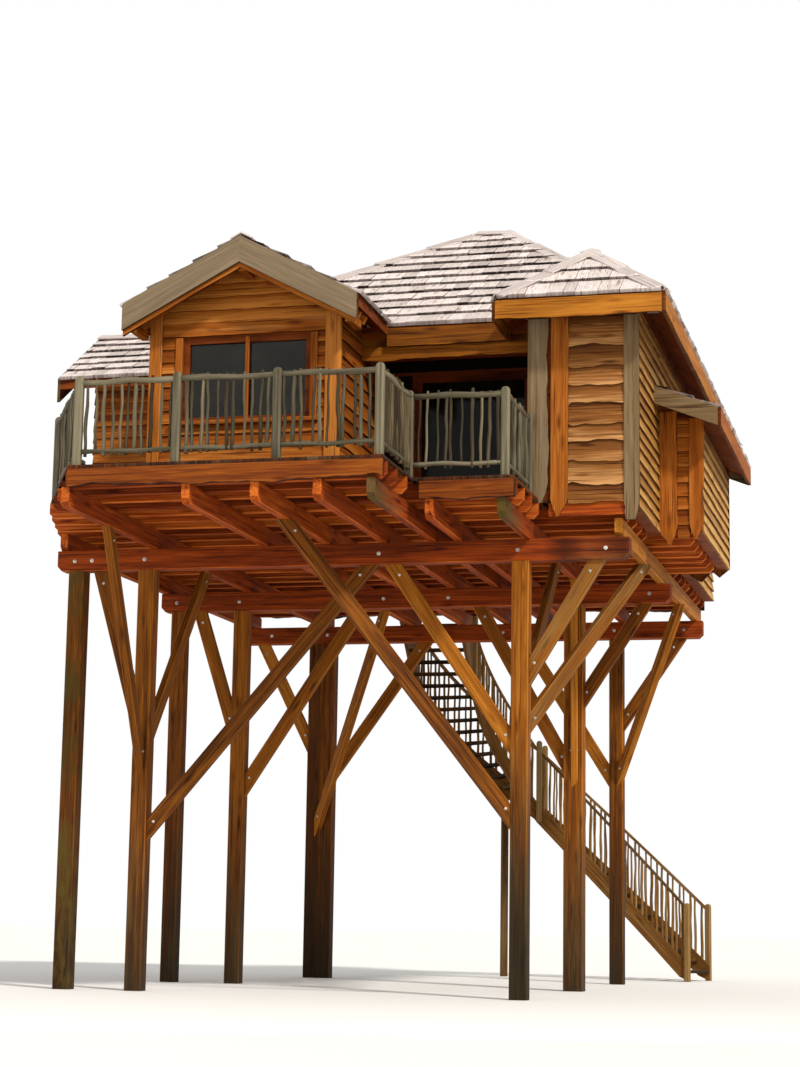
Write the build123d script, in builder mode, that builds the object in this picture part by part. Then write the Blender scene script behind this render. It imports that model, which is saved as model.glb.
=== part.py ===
from build123d import *
import os
from math import atan2, cos, degrees, hypot, radians, sin

os.makedirs("parts", exist_ok=True)

# Tree house on timber posts with a curved outside stair.
# Millimetres. X runs right along the front, Y away from the viewer, Z up.
# While it is drawn, X = 0 lies midway between the two main post columns, Y = 0 is the centre
# line of the front row of posts, and Z = 0 is the ground. The finished solids are saved with
# the middle of the front right post's foot at the origin.

# Post grid
column_x = 2370
row_y = [0, 3800, 7600]
outrigger_x = -3300
post_side = 210
big_post_side = 260
outrigger_rows = 2

# Main beams, which lie along X on the posts
beam_underside = 5150
beam_height = 260
beam_width = 200
beam_left = -3560
beam_right = 3680
end_chamfer = 60

# Girders along Y on the main beams
girder_height = 230
girder_width = 100
girder_x = [-3500, -2280, -850, -50, 670, 1280, 1610, 2450, 3550]
girder_front = [-60, -2990, -2990, -2990, -2990, -2990, -1640, -1640, -60]
girder_back = 8050

# Joists along X on the girders
joist_height = 200
joist_width = 70
joist_count = 25
joist_first_y = -2850
joist_pitch = 450

# Deck
board_thickness = 40
front_rim_y = -3000
step_rim_y = -1650
bay_rim_y = -120
step_x = 1420
bay_x = 2600
deck_right = 3650
bump_deck_right = 4200
deck_back = 8100
deck_left = -4100
left_front_corner_x = -2250
left_slant_x = -3300
left_slant_y = -1000
left_bend_x = -3800
left_bend_y = 500
left_straight_y = 1600
rim_width = 80

# Walls
wall = 120
side_wall = 130
bay_front_y = -120
bay_left_x = 2600
side_wall_x = 3780
cladding_drop = 120
bump_front_y = 1750
bump_back_y = 4900
bump_wall_x = 4330
gable_front_y = -600
gable_left_x = -2130
gable_right_x = 200
porch_back_y = 1600
rear_wall_y = 7050
rear_bay_y = 7950
rear_bay_left_x = 2600
wing_front_y = 2000
wing_back_y = 4000
wing_left_x = -3980
bump_header = 100

# Roofs: plumb thickness, heights above the floor, rises and plan outlines
roof_plumb = 150
eave_height = 2390
main_rise = 2230
main_eave_left = -2600
main_eave_right = 4150
main_eave_front = 400
main_eave_back = 7400
ridge_left_x = 950
ridge_right_x = 1400
bay_eave_left = 2150
bay_eave_front = -600
bay_eave_back = 8400
shingle_edge = 50
gable_ridge_x = -930
gable_half_span = 1490
gable_verge_y = -1080
gable_eave_height = 2410
gable_rise = 790
wing_ridge_y = 3000
wing_half_span = 1400
wing_verge_x = -4350
wing_eave_height = 2210
wing_rise = 910
bump_roof_low_height = 1360
bump_roof_high_height = 1680
bump_eave_x = 4600
bump_roof_front = 1250
bump_roof_back = 5150
bump_roof_plumb = 130
bargeboard_depth = 330
bargeboard_width = 40
fascia_height = 230
fascia_width = 50

# Openings: widths and levels above the deck boards
door_width = 900
door_height = 2000
glass_door_width = 1500
window_sill = 1000
window_head = 2070
gable_window_width = 1640
side_window_width = 900
frame_width = 70
frame_depth = 80
glass_thickness = 12
door_leaf = 45
rear_door_x = -1300
rear_window_x = 900
porch_beam_width = 120
porch_beam_set = 60
porch_beam_height = 1960

# Railing
rail_top = 1000
rail_low = 140
rail_height = 60
rail_width = 50
rail_post = 100
baluster = 36
baluster_pitch = 120
rail_inset = 70
front_rail_bays = 3

# Stair: a lower flight, a quarter turn of winders and a straight upper flight to the deck's back
# edge. The going is measured along the centre line, and the turns are degrees on each tread.
stair_head_x = -690
stair_width = 900
stair_going = 178
riser_count = 34
upper_treads = 6
winder_treads = 12
winder_turn = 7.06
lower_turn = 1.23
stringer_width = 50
stringer_depth = 330
stringer_rise = 60
tread_thickness = 45
hand_rail_above = 950
hand_rail_width = 36
hand_rail_height = 60
stair_stick = 34
post_setback = 4
newel_side = 90
newel_height = 1050
foot_newel_lap = 10
stair_post_side = 110
stair_post_place = 17.6

# Braces
brace_depth = 180
brace_width = 90

# Worked-out levels
girder_underside = beam_underside + beam_height
joist_underside = girder_underside + girder_height
joist_top = joist_underside + joist_height
floor_top = joist_top + board_thickness
eave_top = floor_top + eave_height
ridge_top = eave_top + main_rise
gable_eave_top = floor_top + gable_eave_height
gable_ridge_top = gable_eave_top + gable_rise
gable_pitch = gable_rise / gable_half_span
wing_eave_top = floor_top + wing_eave_height
wing_ridge_top = wing_eave_top + wing_rise
wing_pitch = wing_rise / wing_half_span
bump_roof_low = floor_top + bump_roof_low_height
bump_roof_high = floor_top + bump_roof_high_height
porch_beam_low = floor_top + porch_beam_height


def block(x0, x1, y0, y1, z0, z1, mode=Mode.ADD):
    """A plain box between two corners, inside the open part."""
    with BuildSketch(Plane.XY.offset(z0)) as outline:
        with Locations(((x0 + x1) / 2, (y0 + y1) / 2)):
            Rectangle(x1 - x0, y1 - y0)
    extrude(outline.sketch, amount=z1 - z0, mode=mode)


def facing(y):
    """The upright plane at y, with local x along X and local y along Z, seen from the front."""
    return Plane(origin=(0, y, 0), x_dir=(1, 0, 0), z_dir=(0, -1, 0))


def sideways(x):
    """The upright plane at x, with local x along Y and local y along Z."""
    return Plane(origin=(x, 0, 0), x_dir=(0, 1, 0), z_dir=(1, 0, 0))


def prism_along_y(points, y0, y1, mode=Mode.ADD):
    """An X-Z outline drawn out from y0 to y1."""
    with BuildSketch(facing(y1)) as outline:
        with BuildLine():
            Polyline(*points, close=True)
        make_face()
    extrude(outline.sketch, amount=y1 - y0, mode=mode)


def prism_along_x(points, x0, x1, mode=Mode.ADD):
    """A Y-Z outline drawn out from x0 to x1."""
    with BuildSketch(sideways(x0)) as outline:
        with BuildLine():
            Polyline(*points, close=True)
        make_face()
    extrude(outline.sketch, amount=x1 - x0, mode=mode)


def prism_up(points, z0, z1, mode=Mode.ADD):
    """A plan outline drawn up from z0 to z1."""
    with BuildSketch(Plane.XY.offset(z0)) as outline:
        with BuildLine():
            Polyline(*points, close=True)
        make_face()
    extrude(outline.sketch, amount=z1 - z0, mode=mode)


def beam_outline(start, end, low, height, cut):
    """The long face of a beam whose two lower corners are cut off."""
    return [
        (start + cut, low),
        (end - cut, low),
        (end, low + cut),
        (end, low + height),
        (start, low + height),
        (start, low + cut),
    ]


def save(builder, name):
    """Write the open part's solids with the front right post's foot at the origin."""
    piece = builder.part.moved(Location((-column_x, -row_y[0], 0)))
    piece.label = name
    export_step(piece, f"parts/{name}.step")


# Posts: a front, a middle and a rear row; the outriggers stand left of the first two rows
def post_places(row):
    """Centre and side of each post in a row."""
    right_side = big_post_side if row == 1 else post_side
    places = [(-column_x, post_side), (column_x, right_side)]
    if row < outrigger_rows:
        places.append((outrigger_x, post_side))
    else:
        # The rear left post is doubled
        places.append((-column_x + post_side, post_side))
    return places


row_names = ["front", "middle", "rear"]
post_rows = []
for row, row_name in enumerate(row_names):
    with BuildPart() as posts:
        for x, side in post_places(row):
            y = row_y[row]
            block(x - side / 2, x + side / 2, y - side / 2, y + side / 2, 0, beam_underside)
    save(posts, f"{row_name}_posts")
    post_rows.append(posts.part)

# Main beams
with BuildPart() as main_beams:
    for y in row_y:
        prism_along_y(
            beam_outline(beam_left, beam_right, beam_underside, beam_height, end_chamfer),
            y - beam_width / 2,
            y + beam_width / 2,
        )
save(main_beams, "main_beams")

# Girders
with BuildPart() as girders:
    for x, front in zip(girder_x, girder_front):
        prism_along_x(
            beam_outline(front, girder_back, girder_underside, girder_height, end_chamfer),
            x - girder_width / 2,
            x + girder_width / 2,
        )
save(girders, "floor_girders")


# Joists, whose ends follow the stepped outline of the deck
left_corners = [
    (front_rim_y, left_front_corner_x),
    (left_slant_y, left_slant_x),
    (left_bend_y, left_bend_x),
    (left_straight_y, deck_left),
    (deck_back + 1, deck_left),
]


def left_end(y):
    """The deck's left edge, which slants outward behind the front rim."""
    for (y0, x0), (y1, x1) in zip(left_corners, left_corners[1:]):
        if y <= y1:
            return x0 + (x1 - x0) * (y - y0) / (y1 - y0)
    return deck_left


def right_end(y):
    """The deck's right edge, stepped round the front deck, the bay and the side bump."""
    if y < step_rim_y:
        return step_x
    if y < bay_rim_y:
        return bay_x
    if bump_front_y + side_wall <= y <= bump_back_y - side_wall:
        return bump_deck_right
    return deck_right


with BuildPart() as joists:
    for index in range(joist_count):
        y = joist_first_y + index * joist_pitch
        if y > deck_back - joist_width / 2:
            continue
        prism_along_y(
            beam_outline(left_end(y), right_end(y), joist_underside, joist_height, end_chamfer),
            y - joist_width / 2,
            y + joist_width / 2,
        )
save(joists, "floor_joists")

# Rim beams along the front edges of the deck
rims = [
    (front_rim_y, left_end(front_rim_y), step_x),
    (step_rim_y, step_x + rim_width, bay_x),
    (deck_back - rim_width / 2, deck_left, deck_right),
]
with BuildPart() as rim_beams:
    for y, x0, x1 in rims:
        prism_along_y(
            beam_outline(x0, x1, joist_underside, joist_height, end_chamfer),
            y - rim_width / 2,
            y + rim_width / 2,
        )
save(rim_beams, "rim_beams")

# Deck and floor boards
deck_outline = [
    (left_end(front_rim_y), front_rim_y - rim_width / 2),
    (step_x, front_rim_y - rim_width / 2),
    (step_x, step_rim_y - rim_width / 2),
    (bay_x, step_rim_y - rim_width / 2),
    (bay_x, bay_rim_y),
    (deck_right, bay_rim_y),
    (deck_right, bump_front_y + side_wall),
    (bump_deck_right, bump_front_y + side_wall),
    (bump_deck_right, bump_back_y - side_wall),
    (deck_right, bump_back_y - side_wall),
    (deck_right, deck_back),
    (deck_left, deck_back),
    (deck_left, left_straight_y),
    (left_bend_x, left_bend_y),
    (left_slant_x, left_slant_y),
]
with BuildPart() as deck:
    prism_up(deck_outline, joist_top, floor_top)
save(deck, "deck_floor")


# Braces: each runs in an upright plane from a post's axis up to the underside of a timber
def brace(foot, head, depth=brace_depth, width=brace_width):
    """A bar from foot (x, y, z) on a post's axis up to head (x, y, z) on an underside."""
    run = hypot(head[0] - foot[0], head[1] - foot[1])
    rise = head[2] - foot[2]
    slope = atan2(rise, run)
    along = ((head[0] - foot[0]) / run, (head[1] - foot[1]) / run, 0)
    across = (-along[1], along[0], 0)
    foot_half = depth / 2 / cos(slope)
    head_half = depth / 2 / sin(slope)
    plane = Plane(
        origin=(foot[0] - across[0] * width / 2, foot[1] - across[1] * width / 2, foot[2]),
        x_dir=along,
        z_dir=(along[1], -along[0], 0),
    )
    with BuildSketch(plane) as outline:
        with BuildLine():
            Polyline(
                (0, -foot_half),
                (0, foot_half),
                (run - head_half, rise),
                (run + head_half, rise),
                close=True,
            )
        make_face()
    extrude(outline.sketch, amount=-width)


# In the rows: the post's X, the row, how far below the beam the foot is, and the head's X
row_braces = {
    "front_braces": [
        (column_x, 0, 2330, 780),
        (column_x, 0, 1500, 3290),
        (-column_x, 0, 3330, 480),
        (-column_x, 0, 2150, -3000),
    ],
    "middle_braces": [
        (column_x, 1, 2350, 1050),
        (column_x, 1, 1450, 3330),
        (-column_x, 1, 2600, -660),
        (-column_x, 1, 1950, -3000),
    ],
    "rear_braces": [
        (column_x, 2, 2250, 950),
        (column_x, 2, 1400, 3330),
        (-column_x, 2, 2450, -620),
        (-column_x, 2, 1750, -3250),
    ],
}
# Out to the girders: the post's X, the row, the foot's drop, the girder and the head's Y
girder_braces = [
    (column_x, 0, 3450, 3, -1800),
    (-column_x, 0, 2810, 1, -1650),
    (column_x, 0, 2320, 8, 2090),
    (column_x, 0, 1960, 7, 1900),
    (-column_x, 0, 2510, 1, 1900),
    (column_x, 1, 2910, 7, 3250),
    (column_x, 2, 2460, 8, 5800),
    (-column_x, 2, 3260, 2, 5900),
]
brace_ends = {}
for name, bars in row_braces.items():
    brace_ends[name] = [
        ((x, row_y[row], beam_underside - drop), (head_x, row_y[row], beam_underside))
        for x, row, drop, head_x in bars
    ]
brace_ends["girder_braces"] = [
    ((x, row_y[row], girder_underside - drop), (girder_x[girder], head_y, girder_underside))
    for x, row, drop, girder, head_y in girder_braces
]
for name, ends in brace_ends.items():
    with BuildPart() as braces:
        for foot, head in ends:
            brace(foot, head)
        for post_row in post_rows:
            add(post_row, mode=Mode.SUBTRACT)
    save(braces, name)


# Roof volumes
def hip_volume(x0, x1, y0, y1, ridge_x0, ridge_x1, ridge_y0, ridge_y1, low, top, base):
    """The space under a hipped roof between the level base and its four slopes."""
    with BuildPart() as volume:
        prism_along_y(
            [(x0, base), (x1, base), (x1, low), (ridge_x1, top), (ridge_x0, top), (x0, low)],
            y0, y1,
        )
        prism_along_x(
            [(y0, base), (y1, base), (y1, low), (ridge_y1, top), (ridge_y0, top), (y0, low)],
            x0,
            x1,
            mode=Mode.INTERSECT,
        )
    return volume.part


main_pitch_right = (ridge_top - eave_top) / (main_eave_right - ridge_right_x)
main_ridge_y = (main_eave_front + main_eave_back) / 2
bay_run = (main_eave_right - bay_eave_left) / 2
bay_ridge_x = bay_eave_left + bay_run
bay_ridge_top = eave_top + main_pitch_right * bay_run
ridge_half = 1


def main_volume(drop, base):
    """The space under the main hipped roof and under the lower hips of the right-hand bays."""
    middle = hip_volume(
        main_eave_left,
        main_eave_right,
        main_eave_front,
        main_eave_back,
        ridge_left_x,
        ridge_right_x,
        main_ridge_y - ridge_half,
        main_ridge_y + ridge_half,
        eave_top - drop,
        ridge_top - drop,
        base,
    )
    bays = hip_volume(
        bay_eave_left,
        main_eave_right,
        bay_eave_front,
        bay_eave_back,
        bay_ridge_x - ridge_half,
        bay_ridge_x + ridge_half,
        bay_eave_front + bay_run,
        bay_eave_back - bay_run,
        eave_top - drop,
        bay_ridge_top - drop,
        base,
    )
    return middle + bays


def gable_volume(drop, base, verge, back):
    """The space under the front gable's roof."""
    eave = gable_eave_top
    left = gable_ridge_x - gable_half_span
    right = gable_ridge_x + gable_half_span
    with BuildPart() as volume:
        prism_along_y(
            [
                (left, base), (right, base), (right, eave - drop),
                (gable_ridge_x, gable_ridge_top - drop), (left, eave - drop),
            ],
            verge,
            back,
        )
    return volume.part


def wing_volume(drop, base, verge, back):
    """The space under the left wing's gable roof, whose ridge runs along X."""
    eave = wing_eave_top
    front = wing_ridge_y - wing_half_span
    rear = wing_ridge_y + wing_half_span
    with BuildPart() as volume:
        prism_along_x(
            [
                (front, base), (rear, base), (rear, eave - drop),
                (wing_ridge_y, wing_ridge_top - drop), (front, eave - drop),
            ],
            verge,
            back,
        )
    return volume.part


main_base = eave_top - roof_plumb
main_solid = main_volume(0, main_base)
under_main = main_volume(roof_plumb, 0)
gable_base = gable_eave_top - roof_plumb
gable_solid = gable_volume(0, gable_base, gable_verge_y, main_ridge_y)
under_gable = gable_volume(roof_plumb, 0, gable_verge_y - 1, main_ridge_y)
wing_base = wing_eave_top - roof_plumb
wing_solid = wing_volume(0, wing_base, wing_verge_x, ridge_left_x)
under_wing = wing_volume(roof_plumb, 0, wing_verge_x - 1, ridge_left_x)

# The main roof is open where the gable and the wing join it
with BuildPart() as main_roof:
    add(main_solid)
    add(under_main, mode=Mode.SUBTRACT)
    add(under_gable, mode=Mode.SUBTRACT)
    add(under_wing, mode=Mode.SUBTRACT)
save(main_roof, "main_roof")

# The front gable's roof dies on the main roof's front slope
with BuildPart() as gable_roof:
    add(gable_solid)
    add(under_gable, mode=Mode.SUBTRACT)
    add(main_solid, mode=Mode.SUBTRACT)
save(gable_roof, "gable_roof")

# The left wing's roof dies on the main roof's left slope and on the wall below it
with BuildPart() as wing_roof:
    add(wing_solid)
    add(under_wing, mode=Mode.SUBTRACT)
    add(main_solid, mode=Mode.SUBTRACT)
    block(gable_left_x, main_eave_right, 0, main_eave_back, 0, main_base, mode=Mode.SUBTRACT)
save(wing_roof, "wing_roof")

# The side bump's lean-to roof
with BuildPart() as bump_roof:
    prism_along_y(
        [
            (side_wall_x, bump_roof_high - bump_roof_plumb),
            (bump_eave_x, bump_roof_low - bump_roof_plumb),
            (bump_eave_x, bump_roof_low),
            (side_wall_x, bump_roof_high),
        ],
        bump_roof_front,
        bump_roof_back,
    )
save(bump_roof, "bump_roof")

# Walls rise to the underside of the roofs over them
wall_space = under_main + under_gable
roof_shells = [main_roof.part, gable_roof.part]
wall_reach = ridge_top


def fit_under_roof(space):
    """Cut the open part off at the roofs' undersides."""
    add(space, mode=Mode.INTERSECT)
    for shell in roof_shells:
        add(shell, mode=Mode.SUBTRACT)


def opening_x(middle, width, y0, y1, low, high):
    """A square-edged hole through a wall that faces the front or the rear."""
    block(middle - width / 2, middle + width / 2, y0 - 1, y1 + 1, low, high, mode=Mode.SUBTRACT)


body_right = side_wall_x
gable_middle = (gable_left_x + gable_right_x) / 2
sill = floor_top + window_sill
head = floor_top + window_head
door_head = floor_top + door_height

with BuildPart() as gable_front_wall:
    block(gable_left_x, gable_right_x, gable_front_y, gable_front_y + wall, floor_top, wall_reach)
    opening_x(gable_middle, gable_window_width, gable_front_y, gable_front_y + wall, sill, head)
    fit_under_roof(under_gable)
save(gable_front_wall, "gable_front_wall")

with BuildPart() as left_wall:
    block(gable_left_x, gable_left_x + wall, gable_front_y + wall, rear_wall_y, floor_top, wall_reach)
    block(
        gable_left_x - 1,
        gable_left_x + wall + 1,
        (wing_front_y + wing_back_y - door_width) / 2,
        (wing_front_y + wing_back_y + door_width) / 2,
        0,
        door_head,
        mode=Mode.SUBTRACT,
    )
    fit_under_roof(wall_space)
save(left_wall, "left_wall")

with BuildPart() as gable_side_wall:
    block(
        gable_right_x - wall, gable_right_x,
        gable_front_y + wall, porch_back_y + wall,
        floor_top, wall_reach,
    )
    fit_under_roof(wall_space)
save(gable_side_wall, "gable_side_wall")

porch_middle = (gable_right_x + bay_left_x) / 2
with BuildPart() as porch_wall:
    block(gable_right_x, bay_left_x, porch_back_y, porch_back_y + wall, floor_top, wall_reach)
    opening_x(porch_middle, glass_door_width, porch_back_y, porch_back_y + wall, floor_top, door_head)
    fit_under_roof(wall_space)
save(porch_wall, "porch_wall")

with BuildPart() as bay_side_walls:
    block(bay_left_x, bay_left_x + wall, bay_front_y + wall, porch_back_y + wall, floor_top, wall_reach)
    block(
        rear_bay_left_x, rear_bay_left_x + wall,
        rear_wall_y - wall, rear_bay_y - wall,
        floor_top, wall_reach,
    )
    fit_under_roof(wall_space)
save(bay_side_walls, "bay_side_walls")

with BuildPart() as bay_end_walls:
    block(bay_left_x, body_right - side_wall, bay_front_y, bay_front_y + wall, floor_top, wall_reach)
    block(rear_bay_left_x, body_right - side_wall, rear_bay_y - wall, rear_bay_y, floor_top, wall_reach)
    fit_under_roof(wall_space)
save(bay_end_walls, "bay_end_walls")

# The side walls hang past the edge of the floor
with BuildPart() as right_wall:
    block(
        body_right - side_wall, body_right,
        bay_front_y, rear_bay_y,
        floor_top - cladding_drop, wall_reach,
    )
    block(
        body_right - side_wall - 1,
        body_right + 1,
        bump_front_y + side_wall,
        bump_back_y - side_wall,
        0,
        bump_roof_high - bump_roof_plumb - bump_header,
        mode=Mode.SUBTRACT,
    )
    fit_under_roof(wall_space)
save(right_wall, "right_wall")

with BuildPart() as bump_walls:
    block(body_right, bump_wall_x, bump_front_y, bump_back_y, floor_top - cladding_drop, wall_reach)
    block(
        body_right - 1,
        bump_deck_right,
        bump_front_y + side_wall,
        bump_back_y - side_wall,
        0,
        wall_reach,
        mode=Mode.SUBTRACT,
    )
    prism_along_y(
        [
            (side_wall_x - 1, bump_roof_high - bump_roof_plumb),
            (bump_eave_x, bump_roof_low - bump_roof_plumb),
            (bump_eave_x, wall_reach + 1),
            (side_wall_x - 1, wall_reach + 1),
        ],
        bump_front_y - 1,
        bump_back_y + 1,
        mode=Mode.SUBTRACT,
    )
save(bump_walls, "bump_walls")

with BuildPart() as rear_wall:
    block(gable_left_x + wall, rear_bay_left_x, rear_wall_y - wall, rear_wall_y, floor_top, wall_reach)
    opening_x(rear_door_x, door_width, rear_wall_y - wall, rear_wall_y, floor_top, door_head)
    opening_x(rear_window_x, side_window_width, rear_wall_y - wall, rear_wall_y, sill, head)
    fit_under_roof(wall_space)
save(rear_wall, "rear_wall")

with BuildPart() as wing_walls:
    block(wing_left_x, gable_left_x, wing_front_y, wing_back_y, floor_top, wall_reach)
    block(
        wing_left_x + wall, gable_left_x + 1,
        wing_front_y + wall, wing_back_y - wall,
        0, wall_reach, mode=Mode.SUBTRACT,
    )
    add(under_wing, mode=Mode.INTERSECT)
    add(wing_roof.part, mode=Mode.SUBTRACT)
    add(main_roof.part, mode=Mode.SUBTRACT)
save(wing_walls, "wing_walls")


# Window and door frames, with one fixed pane or leaf in each
def frame_ring(middle, width, y0, y1, low, high, closed_foot):
    """A frame lining a hole; a doorway's frame has no bar at its foot."""
    foot = low + frame_width if closed_foot else low - 1
    block(middle - width / 2, middle + width / 2, y0, y1, low, high)
    block(
        middle - width / 2 + frame_width,
        middle + width / 2 - frame_width,
        y0 - 1,
        y1 + 1,
        foot,
        high - frame_width,
        mode=Mode.SUBTRACT,
    )


def pane(middle, width, y, low, high, thickness):
    """A sheet that fills a frame's clear opening."""
    block(
        middle - width / 2 + frame_width,
        middle + width / 2 - frame_width,
        y - thickness / 2,
        y + thickness / 2,
        low,
        high - frame_width,
    )


wall_middle_gable = gable_front_y + wall / 2
wall_middle_porch = porch_back_y + wall / 2
wall_middle_rear = rear_wall_y - wall / 2
half_frame = frame_depth / 2

with BuildPart() as frames:
    for middle, width, y, low, high, closed_foot in (
        (gable_middle, gable_window_width, wall_middle_gable, sill, head, True),
        (rear_window_x, side_window_width, wall_middle_rear, sill, head, True),
        (porch_middle, glass_door_width, wall_middle_porch, floor_top, door_head, False),
        (rear_door_x, door_width, wall_middle_rear, floor_top, door_head, False),
    ):
        frame_ring(middle, width, y - half_frame, y + half_frame, low, high, closed_foot)
save(frames, "window_and_door_frames")

with BuildPart() as window_glass:
    pane(gable_middle, gable_window_width, wall_middle_gable, sill + frame_width, head, glass_thickness)
    pane(rear_window_x, side_window_width, wall_middle_rear, sill + frame_width, head, glass_thickness)
save(window_glass, "window_glass")

with BuildPart() as porch_door:
    pane(porch_middle, glass_door_width, wall_middle_porch, floor_top, door_head, door_leaf)
save(porch_door, "porch_glass_door")

with BuildPart() as rear_door:
    pane(rear_door_x, door_width, wall_middle_rear, floor_top, door_head, door_leaf)
save(rear_door, "rear_door")

# The porch's beam under the main roof's front eave
with BuildPart() as porch_beam:
    block(
        gable_right_x,
        bay_left_x,
        main_eave_front + porch_beam_set,
        main_eave_front + porch_beam_set + porch_beam_width,
        porch_beam_low,
        wall_reach,
    )
    fit_under_roof(wall_space)
save(porch_beam, "porch_beam")

# Fascia boards under the eaves and bargeboards on the gables
fascia_high = eave_top - shingle_edge
fascia_low = fascia_high - fascia_height
with BuildPart() as fascias:
    block(
        gable_ridge_x + gable_half_span, bay_eave_left,
        main_eave_front - fascia_width, main_eave_front,
        fascia_low, fascia_high,
    )
    block(
        bay_eave_left - fascia_width, bay_eave_left,
        bay_eave_front - fascia_width, main_eave_front,
        fascia_low, fascia_high,
    )
    block(
        bay_eave_left, main_eave_right,
        bay_eave_front - fascia_width, bay_eave_front,
        fascia_low, fascia_high,
    )
    block(
        main_eave_right, main_eave_right + fascia_width,
        bay_eave_front - fascia_width, bay_eave_back + fascia_width,
        fascia_low, fascia_high,
    )
    block(
        bay_eave_left, main_eave_right,
        bay_eave_back, bay_eave_back + fascia_width,
        fascia_low, fascia_high,
    )
    block(
        bay_eave_left - fascia_width, bay_eave_left,
        main_eave_back, bay_eave_back + fascia_width,
        fascia_low, fascia_high,
    )
    block(
        main_eave_left, bay_eave_left,
        main_eave_back, main_eave_back + fascia_width,
        fascia_low, fascia_high,
    )
    block(
        main_eave_left - fascia_width,
        main_eave_left,
        wing_ridge_y + wing_half_span,
        main_eave_back + fascia_width,
        fascia_low,
        fascia_high,
    )
save(fascias, "eave_fascias")


def rake_board(ridge, half, top, pitch, depth):
    """The pair of sloping boards along a gable's edge, as an outline in the gable's plane."""
    drop = half * pitch
    return [
        (ridge - half, top - drop),
        (ridge, top),
        (ridge + half, top - drop),
        (ridge + half, top - drop - depth),
        (ridge, top - depth),
        (ridge - half, top - drop - depth),
    ]


with BuildPart() as bargeboards:
    prism_along_y(
        rake_board(gable_ridge_x, gable_half_span, gable_ridge_top, gable_pitch, bargeboard_depth),
        gable_verge_y - bargeboard_width,
        gable_verge_y,
    )
    prism_along_x(
        rake_board(wing_ridge_y, wing_half_span, wing_ridge_top, wing_pitch, bargeboard_depth),
        wing_verge_x - bargeboard_width,
        wing_verge_x,
    )
    block(
        bump_eave_x,
        bump_eave_x + bargeboard_width,
        bump_roof_front - bargeboard_width,
        bump_roof_back + bargeboard_width,
        bump_roof_low - fascia_height,
        bump_roof_low,
    )
    for y in (bump_roof_front - bargeboard_width, bump_roof_back):
        prism_along_y(
            [
                (side_wall_x, bump_roof_high - fascia_height),
                (bump_eave_x, bump_roof_low - fascia_height),
                (bump_eave_x, bump_roof_low),
                (side_wall_x, bump_roof_high),
            ],
            y,
            y + bargeboard_width,
        )
save(bargeboards, "bargeboards")

# Deck railings: posts at the corners and along the runs, with a panel between each pair
front_line = front_rim_y + rail_inset
left_front_x = left_end(front_rim_y) + rail_inset
front_posts = [
    left_front_x + index * (step_x - rail_inset - left_front_x) / front_rail_bays
    for index in range(front_rail_bays + 1)
]
step_line_x = step_x - rail_inset
step_line_y = step_rim_y + rail_inset
bay_rail_x = bay_x - rail_inset - rail_post / 2
left_corner = (left_slant_x + rail_inset, left_slant_y)
left_bend = (left_bend_x + rail_inset, left_bend_y)
wing_corner = (deck_left + rail_inset, wing_front_y - rail_post / 2)
terrace_x = deck_left + rail_inset
terrace_y = deck_back - rail_inset
stair_gate_left = stair_head_x - stair_width / 2 - rail_post
stair_gate_right = stair_head_x + stair_width / 2 + rail_post
rail_runs = {
    "front_railing": [[(x, front_line) for x in front_posts]],
    "bay_railing": [
        [
            (step_line_x, front_line),
            (step_line_x, step_line_y),
            (bay_rail_x, step_line_y),
            (bay_rail_x, bay_front_y - rail_post / 2),
        ]
    ],
    "left_railing": [[(left_front_x, front_line), left_corner, left_bend, wing_corner]],
    "terrace_railing": [
        [
            (terrace_x, wing_back_y + rail_post / 2),
            (terrace_x, (wing_back_y + deck_back) / 2),
            (terrace_x, terrace_y),
            ((terrace_x + stair_gate_left) / 2, terrace_y),
            (stair_gate_left, terrace_y),
        ],
        [
            (stair_gate_right, terrace_y),
            ((stair_gate_right + rear_bay_left_x) / 2, terrace_y),
            (rear_bay_left_x - rail_post / 2, terrace_y),
        ],
    ],
}
post_points = []
for runs in rail_runs.values():
    for points in runs:
        for point in points:
            if point not in post_points:
                post_points.append(point)
rail_high = floor_top + rail_top
with BuildPart() as railing_posts:
    for x, y in post_points:
        block(
            x - rail_post / 2, x + rail_post / 2,
            y - rail_post / 2, y + rail_post / 2,
            floor_top, rail_high + 50,
        )
save(railing_posts, "railing_posts")


def bar_between(start, end, low, height, width):
    """A level bar along a line in plan."""
    run = hypot(end[0] - start[0], end[1] - start[1])
    turn = degrees(atan2(end[1] - start[1], end[0] - start[0]))
    with BuildSketch(Plane.XY.offset(low)) as outline:
        with Locations(((start[0] + end[0]) / 2, (start[1] + end[1]) / 2)):
            Rectangle(run, width, rotation=turn)
    extrude(outline.sketch, amount=height)


def rail_panel(start, end):
    """Rails and upright sticks between two posts."""
    bar_between(start, end, rail_high - rail_height, rail_height, rail_width)
    bar_between(start, end, floor_top + rail_low, rail_height, rail_width)
    run = hypot(end[0] - start[0], end[1] - start[1])
    count = max(1, round(run / baluster_pitch))
    with BuildSketch(Plane.XY.offset(floor_top + rail_low + rail_height / 2)) as sticks:
        for index in range(1, count):
            share = index / count
            with Locations(
                (start[0] + (end[0] - start[0]) * share, start[1] + (end[1] - start[1]) * share)
            ):
                Rectangle(
                    baluster, baluster,
                    rotation=degrees(atan2(end[1] - start[1], end[0] - start[0])),
                )
    extrude(sticks.sketch, amount=rail_top - rail_low - rail_height)


for name, runs in rail_runs.items():
    with BuildPart() as railing:
        for points in runs:
            for start, end in zip(points, points[1:]):
                rail_panel(start, end)
        add(railing_posts.part, mode=Mode.SUBTRACT)
    save(railing, name)

# Stair: treads between two faceted stringers, one facet a tread
riser = floor_top / riser_count
tread_count = riser_count - 1
lower_treads = tread_count - upper_treads - winder_treads
half_stair = stair_width / 2


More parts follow.
